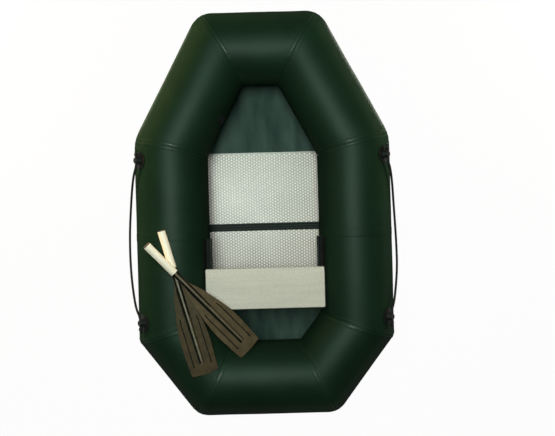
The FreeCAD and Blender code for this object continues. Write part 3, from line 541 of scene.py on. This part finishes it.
def sheet_wave(place):
    """Loose fabric before and behind the boards lifts in long shallow waves."""
    bow = smoothstep(BOARDS_FRONT + WAVE_START, BOARDS_FRONT + BOW_WAVE_REACH, place.y)
    stern = smoothstep(WAVE_START - BOARDS_BACK, STERN_WAVE_REACH - BOARDS_BACK, -place.y)
    rim = smoothstep(0.0, EDGE_WAVE_REACH, sheet_margin(place))
    spot = Vector((place.x * WAVES_ACROSS, place.y * WAVES_ALONG, 0.0))
    long_wave = 0.5 + 0.5 * noise.noise(spot + SEED_SHIFT)
    wander = RIDGE_WANDER * noise.noise(spot * 0.6)
    ridge = 0.5 + 0.5 * math.sin(place.x * RIDGES_ACROSS + wander)
    lift = bow * (BOW_WAVE * long_wave + BOW_RIDGE * ridge) + stern * STERN_WAVE * long_wave
    return rim * lift


def sheet_margin(place):
    """Distance inside the tubes' centre line, near enough."""
    margins = []
    for _, centre, _, _, leave in SEAMS:
        across = Vector((-leave.y, leave.x, 0))
        margins.append((centre - place).dot(across))
    return min(margins)


def add_bottom_sheet():
    """The sheet with its waves, flat to the tubes' centre line and lapped up them outside it."""
    rim = [place for place, *_ in plan_ring(0.0)]
    outer_share = 1 - SHEET_INNER_SHARE
    shares = [SHEET_INNER_SHARE + outer_share * (k / SHEET_RINGS) for k in range(SHEET_RINGS + 1)]
    laps = []
    for k in range(1, SHEET_LAP_STEPS + 1):
        lean = SHEET_LAP * k / SHEET_LAP_STEPS
        laps.append((lean, plan_ring(SHEET_RADIUS * math.sin(lean))))
    rows = len(shares) + SHEET_LAP_STEPS
    points = []
    for c, place in enumerate(rim):
        for share in shares:
            spot = Vector((place.x * share, place.y * share, 0))
            spot.z = sheet_wave(spot) if share < 1 else 0.0
            points.append(spot)
        for lean, ring in laps:
            edge = ring[c][0].copy()
            edge.z = SHEET_RADIUS * (1 - math.cos(lean))
            points.append(edge)
    faces = grid_faces(len(rim), rows, closed_columns=True)
    faces.append(tuple(c * rows for c in range(len(rim)))[::-1])
    sheet = add_mesh("bottom_fabric", points, faces)
    thicken = sheet.modifiers.new("thickness", "SOLIDIFY")
    thicken.thickness = SHEET_THICKNESS
    thicken.offset = math.copysign(1.0, sheet.data.polygons[0].normal.z)
    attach(sheet, "hull")
    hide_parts("bottom_sheet")
    return sheet


bottom = add_bottom_sheet()


# ---------------------------------------------------------------- floorboards

BOSS_PITCH = 0.0146
BOSS_RADIUS = 0.0046
BOSS_RISE = 0.0009
BOSS_SINK = 0.00002
BOSS_AROUND = 10
# Rings of a boss from its foot up, as shares of its radius and its rise.
BOSS_PROFILE = [(1.0, 0.0), (0.82, 0.55), (0.45, 0.93)]
BOSS_EDGE_GAP = 0.0065
# A boss whose gaps to the side and to the far edge add up to less than this is left out.
BOSS_CORNER_GAP = 0.05


def boss_places(low, high):
    """Places of the bosses on a board's top, in staggered columns that leave out its corners."""
    step = BOSS_PITCH * math.sqrt(3) / 2
    columns = int((high.x - low.x - 2 * BOSS_EDGE_GAP) / step)
    start_x = (low.x + high.x - columns * step) / 2
    for i in range(columns + 1):
        x = start_x + i * step
        y = low.y + BOSS_EDGE_GAP + (BOSS_PITCH / 2 if i % 2 else 0)
        while y < high.y - BOSS_EDGE_GAP:
            if (high.x - low.x) / 2 - abs(x) + board_far_gap(low, high, y) > BOSS_CORNER_GAP:
                yield x, y
            y += BOSS_PITCH


def board_bosses(name, low, high):
    """Low round bosses all over a board's top."""
    points, faces = [], []
    for x, y in boss_places(low, high):
        first = len(points)
        for share, rise in BOSS_PROFILE:
            reach, z = BOSS_RADIUS * share, high.z + BOSS_RISE * rise - BOSS_SINK
            for k in range(BOSS_AROUND):
                angle = 2 * math.pi * k / BOSS_AROUND
                points.append((x + reach * math.cos(angle), y + reach * math.sin(angle), z))
        rings = grid_faces(len(BOSS_PROFILE), BOSS_AROUND, closed_rows=True)
        faces += [tuple(first + k for k in (a, d, c, b)) for a, b, c, d in rings]
        top = len(points) - BOSS_AROUND
        faces.append(tuple(range(top, top + BOSS_AROUND)))
    return add_mesh(name, points, faces)


def board_far_gap(low, high, y):
    """Distance from the edge away from the joiner, whose corners have no bosses."""
    return high.y - y if abs(high.y) > abs(low.y) else y - low.y


def add_bosses():
    bosses = []
    for name in ("fore_floorboard", "aft_floorboard"):
        low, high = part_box(name)
        piece = board_bosses(f"{name}_bosses", low, high)
        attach(piece, "hull")
        bosses.append(piece)
    return bosses


bosses = add_bosses()


# ---------------------------------------------------------------- paddle blades

# A blade's places are distances from its root. Its plate is widest at its peak, round which its
# edges bend over the reach of its shoulder to both sides.
PLUG_FLANGE = 0.004
GRIP_LENGTH = 0.171
SPIGOT_LENGTH = 0.070
SPIGOT_RADIUS = 0.0148
SPIGOT_CHAMFER = 0.0011
SPIGOT_AROUND = 28
BLADE_LENGTH = 0.501
BLADE_NECK = 0.020
BLADE_PEAK = 0.308
BLADE_HALF_WIDTH = 0.0685
BLADE_HALF_THICKNESS = 0.002
SHOULDER_REACH = 0.073
TIP_HALF_WIDTH = 0.061
TIP_BULGE = 0.005
TIP_BULGE_START = 0.42
TIP_CORNER = 0.009
# The edges curve in by this much by the root, which fades out along this stretch.
ROOT_WAIST = 0.0095
ROOT_WAIST_FADE = (0.06, 0.155)
EDGE_BEYOND_SPINE = 0.0012
EDGE_ROUNDING = 0.004
SPINE_RADIUS = 0.0123
SPINE_END_RADIUS = 0.0058
SPINE_END = 0.448
# Up to here both flanks of the spine are painted in shade, beyond it only the port flank.
SPINE_FLANKS_SHADED_END = 0.22
CREST_HALF = 0.0048
# Two long grooves beside the spine, which move in where the plate has less room than this.
GROOVE_OFFSET = 0.040
GROOVE_HALF = 0.0025
GROOVE_DEPTH = 0.0013
GROOVE_START = 0.231
GROOVE_END = 0.456
GROOVE_WIDENING = 0.4
GROOVE_ROOM = 0.034
# A sunk channel along each foot of the spine: its port and starboard width.
CHANNEL_DEPTH = 0.0013
CHANNEL_WIDTHS = (0.0058, 0.0022)
CHANNEL_START = (0.02, 0.05)
BLADE_SHARP_EDGE = math.radians(28)

# How each paddle lies: its heading, pitch and roll in degrees.
PADDLE_TURNS = {"paddle_a": (-48.5, 12.5, 16.0), "paddle_b": (-74.5, 1.3, 8.0)}


def paddle_frame(name):
    """Placement of a paddle: origin at the end of its grip, X towards the tip of its blade."""
    heading, pitch, roll = (math.radians(value) for value in PADDLE_TURNS[name])
    turn = Matrix.Rotation(heading, 4, "Z") @ Matrix.Rotation(pitch, 4, "Y")
    turn = turn @ Matrix.Rotation(-roll, 4, "X")
    low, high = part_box(f"{name}_grip")
    middle = turn @ Vector((PLUG_FLANGE + GRIP_LENGTH / 2, 0, 0))
    return Matrix.Translation((low + high) / 2 - middle) @ turn


def blade_half_width(x):
    """Half of the blade's width at a distance from its root, before the tip's corners."""
    rise = (BLADE_HALF_WIDTH - SPINE_RADIUS) / (BLADE_PEAK - BLADE_NECK)
    fall = (TIP_HALF_WIDTH - BLADE_HALF_WIDTH) / (BLADE_LENGTH - TIP_BULGE - BLADE_PEAK)
    past = x - BLADE_PEAK
    if past < -SHOULDER_REACH:
        waist = ROOT_WAIST * (1 - smoothstep(*ROOT_WAIST_FADE, x))
        return max(SPINE_RADIUS + EDGE_BEYOND_SPINE, BLADE_HALF_WIDTH + rise * past - waist)
    if past > SHOULDER_REACH:
        return BLADE_HALF_WIDTH + fall * past
    share = (past + SHOULDER_REACH) / (2 * SHOULDER_REACH)
    lift = (1 - share) ** 2 * -rise + share**2 * fall
    return BLADE_HALF_WIDTH + SHOULDER_REACH * lift


# Materials of a blade's faces: its plate and its spine's starboard flank; painted shade, a
# near-black brown, in its grooves and channels, on the spine's port flank and, near the root, on
# both flanks; and a paler painted highlight on the spine's crest.
FLANK, PAINTED_SHADE, PAINTED_HIGHLIGHT = 0, 1, 2


def spine_radius(x):
    return SPINE_RADIUS + (SPINE_END_RADIUS - SPINE_RADIUS) * min(1.0, max(0.0, x / SPINE_END))


def spine_foot(height):
    """Half of the spine's width where it meets the plate."""
    return 0.78 * height + 0.0030


def blade_stations():
    """Distances from the root at which the plate has a cross-section, closer together where the
    grooves or the spine end and round the tip's corners."""
    stations = [BLADE_NECK + 0.001 + 0.0105 * k for k in range(20)]
    stations += [GROOVE_START, GROOVE_START + 0.002, GROOVE_START + 0.006]
    stations += [GROOVE_START + 0.014 + 0.012 * k for k in range(17)]
    stations += [SPINE_END, SPINE_END + 0.002, GROOVE_END, 0.472]
    end = BLADE_LENGTH - TIP_BULGE
    stations += [end - TIP_CORNER + TIP_CORNER * math.sin(math.pi / 2 * k / 9) for k in range(10)]
    return sorted(stations)


def blade_rows(x, channel_width):
    """Half a cross-section of the plate from the middle out: (across, height, kind of recess)."""
    half, reach = blade_half_width(x), spine_foot(spine_radius(x))
    corner = BLADE_LENGTH - TIP_BULGE - TIP_CORNER
    if x > corner:
        half += math.sqrt(max(0.0, TIP_CORNER**2 - (x - corner) ** 2)) - TIP_CORNER
    room, top = half - reach, BLADE_HALF_THICKNESS
    middle = min(GROOVE_OFFSET, reach + 0.62 * room)
    side = GROOVE_HALF * min(1.0, room / GROOVE_ROOM)
    side *= 1 + GROOVE_WIDENING * smoothstep(GROOVE_END - 0.012, GROOVE_END - 0.005, x)
    grooved = GROOVE_DEPTH if GROOVE_START < x < GROOVE_END else 0.0
    channel = CHANNEL_DEPTH * smoothstep(*CHANNEL_START, x) if x <= SPINE_END else 0.0
    brim = reach + min(channel_width, 0.6 * (middle - side - reach))
    rim = min(EDGE_ROUNDING, (half - middle - side) * 0.7)
    return [
        (0.0, top, None),
        (reach - 0.0006, top - channel, "channel"),
        (brim - 0.0004, top - channel, "channel"),
        (brim, top, "channel"),
        (brim + 0.3 * (middle - side - brim), top, None),
        (middle - side, top, "groove"),
        (middle - side * 0.75, top - grooved, "groove"),
        (middle + side * 0.75, top - grooved, "groove"),
        (middle + side, top, "groove"),
        (half - rim, top, None),
        (half - 0.30 * rim, top * 0.86, None),
        (half - 0.08 * rim, top * 0.5, None),
        (half, 0.0, None),
    ]


def recessed(recess, x):
    """Whether a kind of recess is there at a distance from the root."""
    if recess == "groove":
        return GROOVE_START < x < GROOVE_END
    return recess == "channel" and x < SPINE_END


def blade_plate():
    """Points and faces of the flat blade, and which of its faces line a recess."""
    stations = blade_stations()
    thickness_shares = [1.0] * (len(stations) - 2) + [0.75, 0.25]
    points, recesses = [], []
    for x, share in zip(stations, thickness_shares):
        port, starboard = (blade_rows(x, width) for width in CHANNEL_WIDTHS)
        top = [(-y, z * share, recess) for y, z, recess in reversed(port)]
        top += [(y, z * share, recess) for y, z, recess in starboard[1:]]
        loop = top + [(-y, -z, recess) for y, z, recess in top[1:-1]]
        push = TIP_BULGE * smoothstep(TIP_BULGE_START, BLADE_LENGTH - TIP_BULGE, x)
        points += [(x + push * (1 - abs(y) / TIP_HALF_WIDTH), y, z) for y, z, _ in loop]
        recesses = [recess for _, _, recess in loop]
    rows = len(recesses)
    faces = grid_faces(len(stations), rows, closed_rows=True)
    lined = []
    for x, following in zip(stations, stations[1:]):
        for j, recess in enumerate(recesses):
            same = recess is not None and recess == recesses[(j + 1) % rows]
            lined.append(same and recessed(recess, (x + following) / 2))
    last = (len(stations) - 1) * rows
    faces += [tuple(range(rows)), tuple(last + j for j in reversed(range(rows)))]
    return points, faces, lined + [False, False]


def spine_rows(height):
    """The spine's cross-section, clockwise from the port foot: (across, height, material)."""
    foot, crest = spine_foot(height), min(CREST_HALF, 0.72 * height)
    flank = [
        (-foot, 0.0008, PAINTED_SHADE),
        (-foot, BLADE_HALF_THICKNESS * 0.6, PAINTED_SHADE),
        (-foot + 0.25 * (foot - crest), 0.42 * height, PAINTED_SHADE),
        (-crest, 0.84 * height, PAINTED_HIGHLIGHT),
        (-0.62 * crest, 0.95 * height, PAINTED_HIGHLIGHT),
        (-0.25 * crest, 0.99 * height, PAINTED_HIGHLIGHT),
    ]
    upper = flank + [(-y, z, PAINTED_HIGHLIGHT) for y, z, _ in reversed(flank[4:])]
    upper += [(-y, z, FLANK) for y, z, _ in reversed(flank[:4])]
    return upper + [(-y, -z, part) for y, z, part in upper]


def blade_spine():
    """Points and faces of the tapering spine with its rounded end, and the faces' materials."""
    profile = [(SPINE_END * k / 14, spine_radius(SPINE_END * k / 14)) for k in range(14)]
    for k in range(7):
        lean = math.pi / 2 * k / 6
        reach = SPINE_END_RADIUS * max(0.12, math.cos(lean))
        profile.append((SPINE_END - SPINE_END_RADIUS * (1 - math.sin(lean)), reach))
    points, parts = [], []
    for x, height in profile:
        rows = spine_rows(height)
        points += [(x, y, z) for y, z, _ in rows]
        parts = [part for _, _, part in rows]
    around = len(parts)
    faces = grid_faces(len(profile), around, closed_rows=True)
    # Near the root both flanks of the spine take the painted shade; further on only the port flank.
    flanks_shaded = [PAINTED_SHADE if part == FLANK else part for part in parts]
    found = [part for x, _ in profile[:-1] for part in (flanks_shaded if x < SPINE_FLANKS_SHADED_END else parts)]
    faces += [tuple(range(around)), tuple(len(points) - around + k for k in range(around))[::-1]]
    return points, faces, found + [FLANK, FLANK]


def blade_spigot():
    """Points and faces of the round root that goes into the grip."""
    around, points = SPIGOT_AROUND, []
    shoulder, narrow = (0.0005, SPIGOT_RADIUS), (0.0016, SPIGOT_RADIUS - SPIGOT_CHAMFER)
    for x, radius in ((-SPIGOT_LENGTH, SPIGOT_RADIUS), shoulder, narrow):
        for k in range(around):
            angle = 2 * math.pi * k / around
            points.append((x, radius * math.cos(angle), radius * math.sin(angle)))
    faces = grid_faces(3, around, closed_rows=True)
    faces += [tuple(range(around)), tuple(2 * around + k for k in reversed(range(around)))]
    return points, faces


def add_blades():
    """Both blade mouldings, and the material of each of their faces."""
    points, faces, parts = [], [], []
    plate, plate_faces, lined = blade_plate()
    spigot, spigot_faces = blade_spigot()
    for piece in (
        # Faces that line a groove or channel take the painted shade.
        (plate, plate_faces, [PAINTED_SHADE * recess for recess in lined]),
        blade_spine(),
        (spigot, spigot_faces, [FLANK] * len(spigot_faces)),
    ):
        faces += [tuple(len(points) + k for k in face) for face in piece[1]]
        points += piece[0]
        parts += piece[2]
    blades = []
    for name in PADDLE_TURNS:
        place = paddle_frame(name) @ Matrix.Translation((PLUG_FLANGE + GRIP_LENGTH, 0, 0))
        moulding = [place @ Vector(point) for point in points]
        blade = add_mesh(f"{name}_blade_moulding", moulding, faces)
        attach(blade, name)
        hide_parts(f"{name}_blade")
        blade.data.set_sharp_from_angle(angle=BLADE_SHARP_EDGE)
        blades.append(blade)
    return blades, parts


blades, blade_parts = add_blades()


# ---------------------------------------------------------------- materials


def srgb(red, green, blue):
    """Linear colour of the usual 0 to 255 values."""
    return tuple(
        value / 255 / 12.92 if value <= 10 else ((value / 255 + 0.055) / 1.055) ** 2.4
        for value in (red, green, blue)
    )


class Finish:
    """A Principled material whose colour, roughness and relief come from procedural textures."""

    def __init__(self, name, specular, coat=0.0, coat_roughness=0.2):
        self.material = bpy.data.materials.new(name)
        self.material.use_nodes = True
        self.tree = self.material.node_tree
        self.shader = self.tree.nodes["Principled BSDF"]
        self.shader.inputs["Specular IOR Level"].default_value = specular
        self.shader.inputs["Coat Weight"].default_value = coat
        self.shader.inputs["Coat Roughness"].default_value = coat_roughness
        self.coordinates = self.add("ShaderNodeTexCoord").outputs["Object"]
        self.normal = None

    def add(self, kind, **settings):
        node = self.tree.nodes.new(kind)
        for key, value in settings.items():
            setattr(node, key, value)
        return node

    def link(self, source, target):
        self.tree.links.new(source, target)

    def scaled(self, scale):
        mapping = self.add("ShaderNodeMapping")
        mapping.inputs["Scale"].default_value = scale
        self.link(self.coordinates, mapping.inputs["Vector"])
        return mapping.outputs["Vector"]

    def noise(self, scale, detail=3.0, stretch=None):
        """Soft blotches, about so many per metre, with so many finer layers."""
        node = self.add("ShaderNodeTexNoise")
        node.inputs["Scale"].default_value = scale
        node.inputs["Detail"].default_value = detail
        source = self.scaled(stretch) if stretch else self.coordinates
        self.link(source, node.inputs["Vector"])
        return node.outputs["Fac"]

    def cells(self, scale):
        """Small round cells, about so many per metre."""
        node = self.add("ShaderNodeTexVoronoi", feature="F1")
        node.inputs["Scale"].default_value = scale
        self.link(self.coordinates, node.inputs["Vector"])
        return node.outputs["Distance"]

    def bands(self, scale, direction):
        """Straight even ribs that follow each other along an axis."""
        node = self.add("ShaderNodeTexWave", wave_type="BANDS", bands_direction=direction)
        node.inputs["Scale"].default_value = scale
        self.link(self.coordinates, node.inputs["Vector"])
        return node.outputs["Fac"]

    def colour(self, source, stops):
        """Base colour from (value of the source, colour) stops."""
        node = self.add("ShaderNodeValToRGB")
        while len(node.color_ramp.elements) < len(stops):
            node.color_ramp.elements.new(0.5)
        for element, (position, colour) in zip(node.color_ramp.elements, stops):
            element.position = position
            element.color = (*colour, 1.0)
        self.link(source, node.inputs["Fac"])
        self.link(node.outputs["Color"], self.shader.inputs["Base Color"])

    def roughness(self, source, low, high):
        node = self.add("ShaderNodeMapRange")
        node.inputs["To Min"].default_value = low
        node.inputs["To Max"].default_value = high
        self.link(source, node.inputs["Value"])
        self.link(node.outputs["Result"], self.shader.inputs["Roughness"])

    def bump(self, source, distance, strength):
        """Relief, on top of any that was added before."""
        node = self.add("ShaderNodeBump")
        node.inputs["Distance"].default_value = distance
        node.inputs["Strength"].default_value = strength
        self.link(source, node.inputs["Height"])
        if self.normal is not None:
            self.link(self.normal, node.inputs["Normal"])
        self.normal = node.outputs["Normal"]
        self.link(self.normal, self.shader.inputs["Normal"])
        self.link(self.normal, self.shader.inputs["Coat Normal"])


PVC_COAT_IOR = 3.5


def pvc(name, dark, light, coat=0.035, coat_roughness=0.5, stretch=None):
    """Coated fabric: blotches of tone, the cloth's grain through the coat, and soft dents."""
    finish = Finish(name, specular=0.0, coat=coat, coat_roughness=coat_roughness)
    finish.shader.inputs["Coat IOR"].default_value = PVC_COAT_IOR
    finish.colour(finish.noise(6.0, 5.0, stretch), [(0.3, dark), (0.72, light)])
    finish.roughness(finish.noise(26.0, 3.0), 0.50, 0.60)
    finish.bump(finish.noise(40.0, 2.0), 0.0006, 0.3)
    finish.bump(finish.cells(900.0), 0.00008, 0.45)
    return finish.material


def moulded(name, dark, light, rough, grain=0.00006, grain_scale=1400.0, specular=0.3):
    """Moulded plastic or rubber with a fine grain of a height and a number of cells per metre."""
    finish = Finish(name, specular=specular)
    finish.colour(finish.noise(35.0, 4.0), [(0.3, dark), (0.7, light)])
    finish.roughness(finish.noise(60.0), *rough)
    finish.bump(finish.cells(grain_scale), grain, 0.5)
    return finish.material


def board_material():
    """Silver-grey embossed plate, under the paler bosses."""
    finish = Finish("floor_plastic", specular=0.18)
    dark, light = srgb(156, 152, 145), srgb(178, 173, 164)
    finish.colour(finish.noise(5.0, 5.0), [(0.25, dark), (0.75, light)])
    finish.roughness(finish.noise(40.0), 0.22, 0.3)
    finish.bump(finish.noise(420.0, 4.0), 0.00008, 0.6)
    return finish.material


def boss_material():
    """The bosses, paler and glossier than the plate under them."""
    finish = Finish("floor_bosses", specular=0.22)
    dark, light = srgb(222, 215, 205), srgb(236, 229, 218)
    finish.colour(finish.noise(7.0, 3.0), [(0.25, dark), (0.75, light)])
    finish.roughness(finish.noise(60.0), 0.22, 0.3)
    finish.bump(finish.noise(420.0, 4.0), 0.00005, 0.5)
    return finish.material


def seat_material():
    """Pale laminate with a fine pebbled surface, mottled and faintly streaked along the board."""
    finish = Finish("seat_laminate", specular=0.3)
    streaks = finish.noise(14.0, 5.0, stretch=(0.25, 3.0, 1.0))
    speckle = finish.noise(150.0, 3.0)
    mottle = finish.add("ShaderNodeMix", data_type="FLOAT")
    mottle.inputs["Factor"].default_value = 0.55
    finish.link(streaks, mottle.inputs["A"])
    finish.link(speckle, mottle.inputs["B"])
    dark, light = srgb(178, 174, 158), srgb(200, 196, 180)
    finish.colour(mottle.outputs["Result"], [(0.32, dark), (0.68, light)])
    finish.roughness(finish.noise(80.0), 0.42, 0.58)
    finish.bump(finish.cells(520.0), 0.00018, 0.7)
    finish.bump(finish.noise(900.0, 3.0), 0.00008, 0.6)
    return finish.material


def joiner_material():
    """Extruded black strip with fine ribs along its length, their troughs painted dark as shade and
    their tops paler as highlight.
    """
    finish = Finish("black_plastic_ribbed", specular=0.06)
    ribs = finish.bands(27.0, "Y")
    # Painted shade and highlight: the colour follows the ribs, darker in their troughs and paler on
    # their tops.
    finish.colour(ribs, [(0.15, srgb(8, 11, 10)), (0.75, srgb(38, 44, 41))])
    finish.roughness(finish.noise(60.0), 0.45, 0.56)
    finish.bump(ribs, 0.0006, 0.8)
    finish.bump(finish.cells(1400.0), 0.00005, 0.5)
    return finish.material


def rope_material():
    """Dull black fibre."""
    finish = Finish("rope_fibre", specular=0.2)
    finish.colour(finish.noise(900.0, 3.0), [(0.3, srgb(10, 11, 10)), (0.7, srgb(32, 33, 30))])
    finish.roughness(finish.noise(300.0), 0.6, 0.85)
    finish.bump(finish.noise(1600.0, 2.0), 0.0002, 0.8)
    return finish.material


def brown(name, dark, light, specular):
    """Plastic of a blade: the lower one's is a darker copy, painted shade for the less light it
    gets, and duller.
    """
    return moulded(name, dark, light, (0.52, 0.62), grain_scale=1000.0, specular=specular)


def paint(obj, material):
    """Give a piece of this script one material all over."""
    obj.data.materials.clear()
    obj.data.materials.append(material)
    for polygon in obj.data.polygons:
        polygon.material_index = 0


def paint_node(obj, material):
    """Give a CAD node its material through its own slots, without touching its mesh."""
    if not obj.material_slots:
        obj.data.materials.append(material)
    for material_slot in obj.material_slots:
        material_slot.material = material


MATERIALS = {
    "hull_pvc": pvc("hull_pvc", srgb(13, 31, 18), srgb(17, 37, 22)),
    "baffle_pvc": pvc("baffle_pvc", srgb(14, 36, 23), srgb(18, 42, 28)),
    "bottom_pvc": pvc(
        "bottom_pvc", srgb(18, 39, 33), srgb(51, 71, 63), coat=0.02, stretch=(2.6, 0.7, 1.0)
    ),
    "floor_plastic": board_material(),
    "seat_laminate": seat_material(),
    "black_plastic": moulded(
        "black_plastic", srgb(15, 18, 17), srgb(25, 28, 26), (0.42, 0.54), specular=0.10
    ),
    "black_rubber": moulded(
        "black_rubber", srgb(12, 13, 12), srgb(22, 22, 21), (0.5, 0.65), specular=0.2
    ),
    "rope_fibre": rope_material(),
    "cream_plastic": moulded(
        "cream_plastic", srgb(226, 222, 198), srgb(237, 232, 210), (0.3, 0.4), grain=0.00002
    ),
    "brown_plastic": brown("brown_plastic", srgb(66, 54, 34), srgb(82, 69, 46), 0.22),
}


def paint_everything():
    for subpart in frame["record"]["subparts"]:
        paint_node(nodes[subpart["node"]], MATERIALS[subpart["material_slot"]])
    paint_node(nodes["floorboard_joiner"], joiner_material())
    paint(hull, MATERIALS["hull_pvc"])
    # The weld: a glossier coat, and a colour paler than the hull's that paints a glint along the
    # seams.
    weld_and_painted_glint = pvc("hull_weld_painted_glint", srgb(18, 37, 23), srgb(23, 43, 27), coat=0.060, coat_roughness=0.32)
    hull.data.materials.append(weld_and_painted_glint)
    for polygon, welded in zip(hull.data.polygons, hull_welded):
        polygon.material_index = int(welded)
    paint(bottom, MATERIALS["bottom_pvc"])
    for piece in bosses:
        paint(piece, boss_material())
    # Painted shade: a near-black brown for the blades' grooves, channels and shaded spine flanks.
    recess = moulded("brown_painted_shade", srgb(9, 7, 4), srgb(16, 12, 7), (0.6, 0.75), specular=0.1)
    # Painted highlight: a paler brown along the spines' crests, with more gloss than the plate.
    crest = moulded(
        "brown_painted_highlight", srgb(78, 70, 52), srgb(94, 86, 66), (0.3, 0.4), grain=0.00002, specular=1.0
    )
    # Painted shade: the lower blade's plate is a darker copy of the same plastic.
    plastic_b_painted_shade = brown("brown_plastic_b_painted_shade", srgb(52, 42, 24), srgb(67, 55, 34), 0.12)
    for blade, plate in zip(blades, (MATERIALS["brown_plastic"], plastic_b_painted_shade)):
        paint(blade, plate)
        blade.data.materials.append(recess)
        blade.data.materials.append(crest)
        for polygon, part in zip(blade.data.polygons, blade_parts):
            polygon.material_index = part
    for piece in rope_pieces:
        paint(piece, MATERIALS["rope_fibre"])


paint_everything()


# ---------------------------------------------------------------- stage and light

FLOOR_HALF = 9.0
FLOOR_DROP = 0.001
FLOOR_GREY = 0.55
# How much of the floor shows as plain white to the camera; the rest keeps the shadow.
FLOOR_GLOW_SHARE = 0.965


def floor_material():
    """White to the camera and to gloss and glass, and a matt grey for the light that it throws."""
    material = bpy.data.materials.new("floor_white")
    material.use_nodes = True
    tree = material.node_tree
    tree.nodes.clear()
    output = tree.nodes.new("ShaderNodeOutputMaterial")
    diffuse = tree.nodes.new("ShaderNodeBsdfDiffuse")
    diffuse.inputs["Color"].default_value = (FLOOR_GREY, FLOOR_GREY, FLOOR_GREY, 1)
    glow = tree.nodes.new("ShaderNodeEmission")
    glow.inputs["Color"].default_value = (1, 1, 1, 1)
    glow.inputs["Strength"].default_value = 1.0
    path = tree.nodes.new("ShaderNodeLightPath")
    seen = path.outputs["Is Camera Ray"]
    for ray in ("Is Glossy Ray", "Is Transmission Ray"):
        either = tree.nodes.new("ShaderNodeMath")
        either.operation = "MAXIMUM"
        tree.links.new(seen, either.inputs[0])
        tree.links.new(path.outputs[ray], either.inputs[1])
        seen = either.outputs["Value"]
    share = tree.nodes.new("ShaderNodeMath")
    share.operation = "MULTIPLY"
    share.inputs[1].default_value = FLOOR_GLOW_SHARE
    mix = tree.nodes.new("ShaderNodeMixShader")
    tree.links.new(seen, share.inputs[0])
    tree.links.new(share.outputs["Value"], mix.inputs["Fac"])
    tree.links.new(diffuse.outputs["BSDF"], mix.inputs[1])
    tree.links.new(glow.outputs["Emission"], mix.inputs[2])
    tree.links.new(mix.outputs["Shader"], output.inputs["Surface"])
    return material


def add_stage():
    half = FLOOR_HALF
    corners = [(-half, -half, 0), (half, -half, 0), (half, half, 0), (-half, half, 0)]
    floor = add_mesh("floor", corners, [(0, 1, 2, 3)], smooth=False)
    floor.location.z = -FLOOR_DROP
    paint(floor, floor_material())
    floor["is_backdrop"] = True


WHITE = (1.0, 1.0, 1.0)
WORLD_STRENGTH = 0.03
ABOVE = (-0.22, 0.46, 3.5)
MIDDLE = (0.0, 0.0, 0.0)
PANEL = (1.4, 1.7)
LOW_PANEL = (1.6, 0.5)
RIM_PANEL = (0.6, 0.2)
# The rim lamps lie on the floor beside the bow and look up.
RIM_PLACE, RIM_AIM = (0.555, 0.71, 0.004), (0.546, 0.705, 1.0)
LOW_PLACE, LOW_AIM = (1.9, 1.25, 0.28), (0.45, 0.6, 0.12)


def add_lamp(name, place, target, size, power, colour, diffuse=True, gloss=True):
    """A soft lamp that looks at a target, and that lights matt surfaces, glossy ones or both."""
    data = bpy.data.lights.new(name, "AREA")
    data.shape = "RECTANGLE"
    data.size, data.size_y = size
    data.energy = power
    data.color = colour
    lamp = bpy.data.objects.new(name, data)
    lamp.location = place
    aim = Vector(target) - Vector(place)
    lamp.rotation_euler = aim.to_track_quat("-Z", "Y").to_euler()
    lamp.visible_camera = False
    lamp.visible_diffuse = diffuse
    lamp.visible_glossy = gloss
    bpy.context.scene.collection.objects.link(lamp)


def on_side(side, place):
    """A place given for starboard, on either side."""
    return (SIDES[side] * place[0], *place[1:])


def add_light():
    """Soft light from above, warmer light low from the bow's sides, and an almost dark world.
    Powers are in watts."""
    add_lamp("overhead", ABOVE, MIDDLE, PANEL, 103, (0.95, 1.0, 0.98), gloss=False)
    add_lamp("overhead_gloss", ABOVE, MIDDLE, PANEL, 112, (0.50, 1.0, 0.73), diffuse=False)
    add_lamp("glare", (-0.27, 0.15, 3.5), MIDDLE, (0.5, 0.5), 38, WHITE, diffuse=False)
    add_lamp("side", (-2.6, 2.2, 1.1), (0, 0, 0.2), (3.2, 1.8), 24, (1.0, 0.76, 0.26))
    for side, power, colour in (("port", 78, (1.0, 0.72, 0.4)), ("starboard", 55, (1.0, 0.8, 0.6))):
        place, aim = on_side(side, LOW_PLACE), on_side(side, LOW_AIM)
        add_lamp(f"{side}_low", place, aim, LOW_PANEL, power, colour, gloss=False)
    for side, power, colour in (("port", 11, (1.0, 0.95, 0.7)), ("starboard", 18, (1.0, 1.0, 0.9))):
        place, aim = on_side(side, RIM_PLACE), on_side(side, RIM_AIM)
        add_lamp(f"{side}_rim", place, aim, RIM_PANEL, power, colour, diffuse=False)
    world = bpy.data.worlds.new("studio")
    world.use_nodes = True
    background = world.node_tree.nodes["Background"]
    background.inputs["Color"].default_value = (*WHITE, 1)
    background.inputs["Strength"].default_value = WORLD_STRENGTH
    bpy.context.scene.world = world


add_stage()
add_light()

bpy.context.scene.view_settings.view_transform = "Standard"

sizes = {"cad": cad_box, "visual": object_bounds()}
{key: [list(corner) for corner in box] for key, box in sizes.items()}
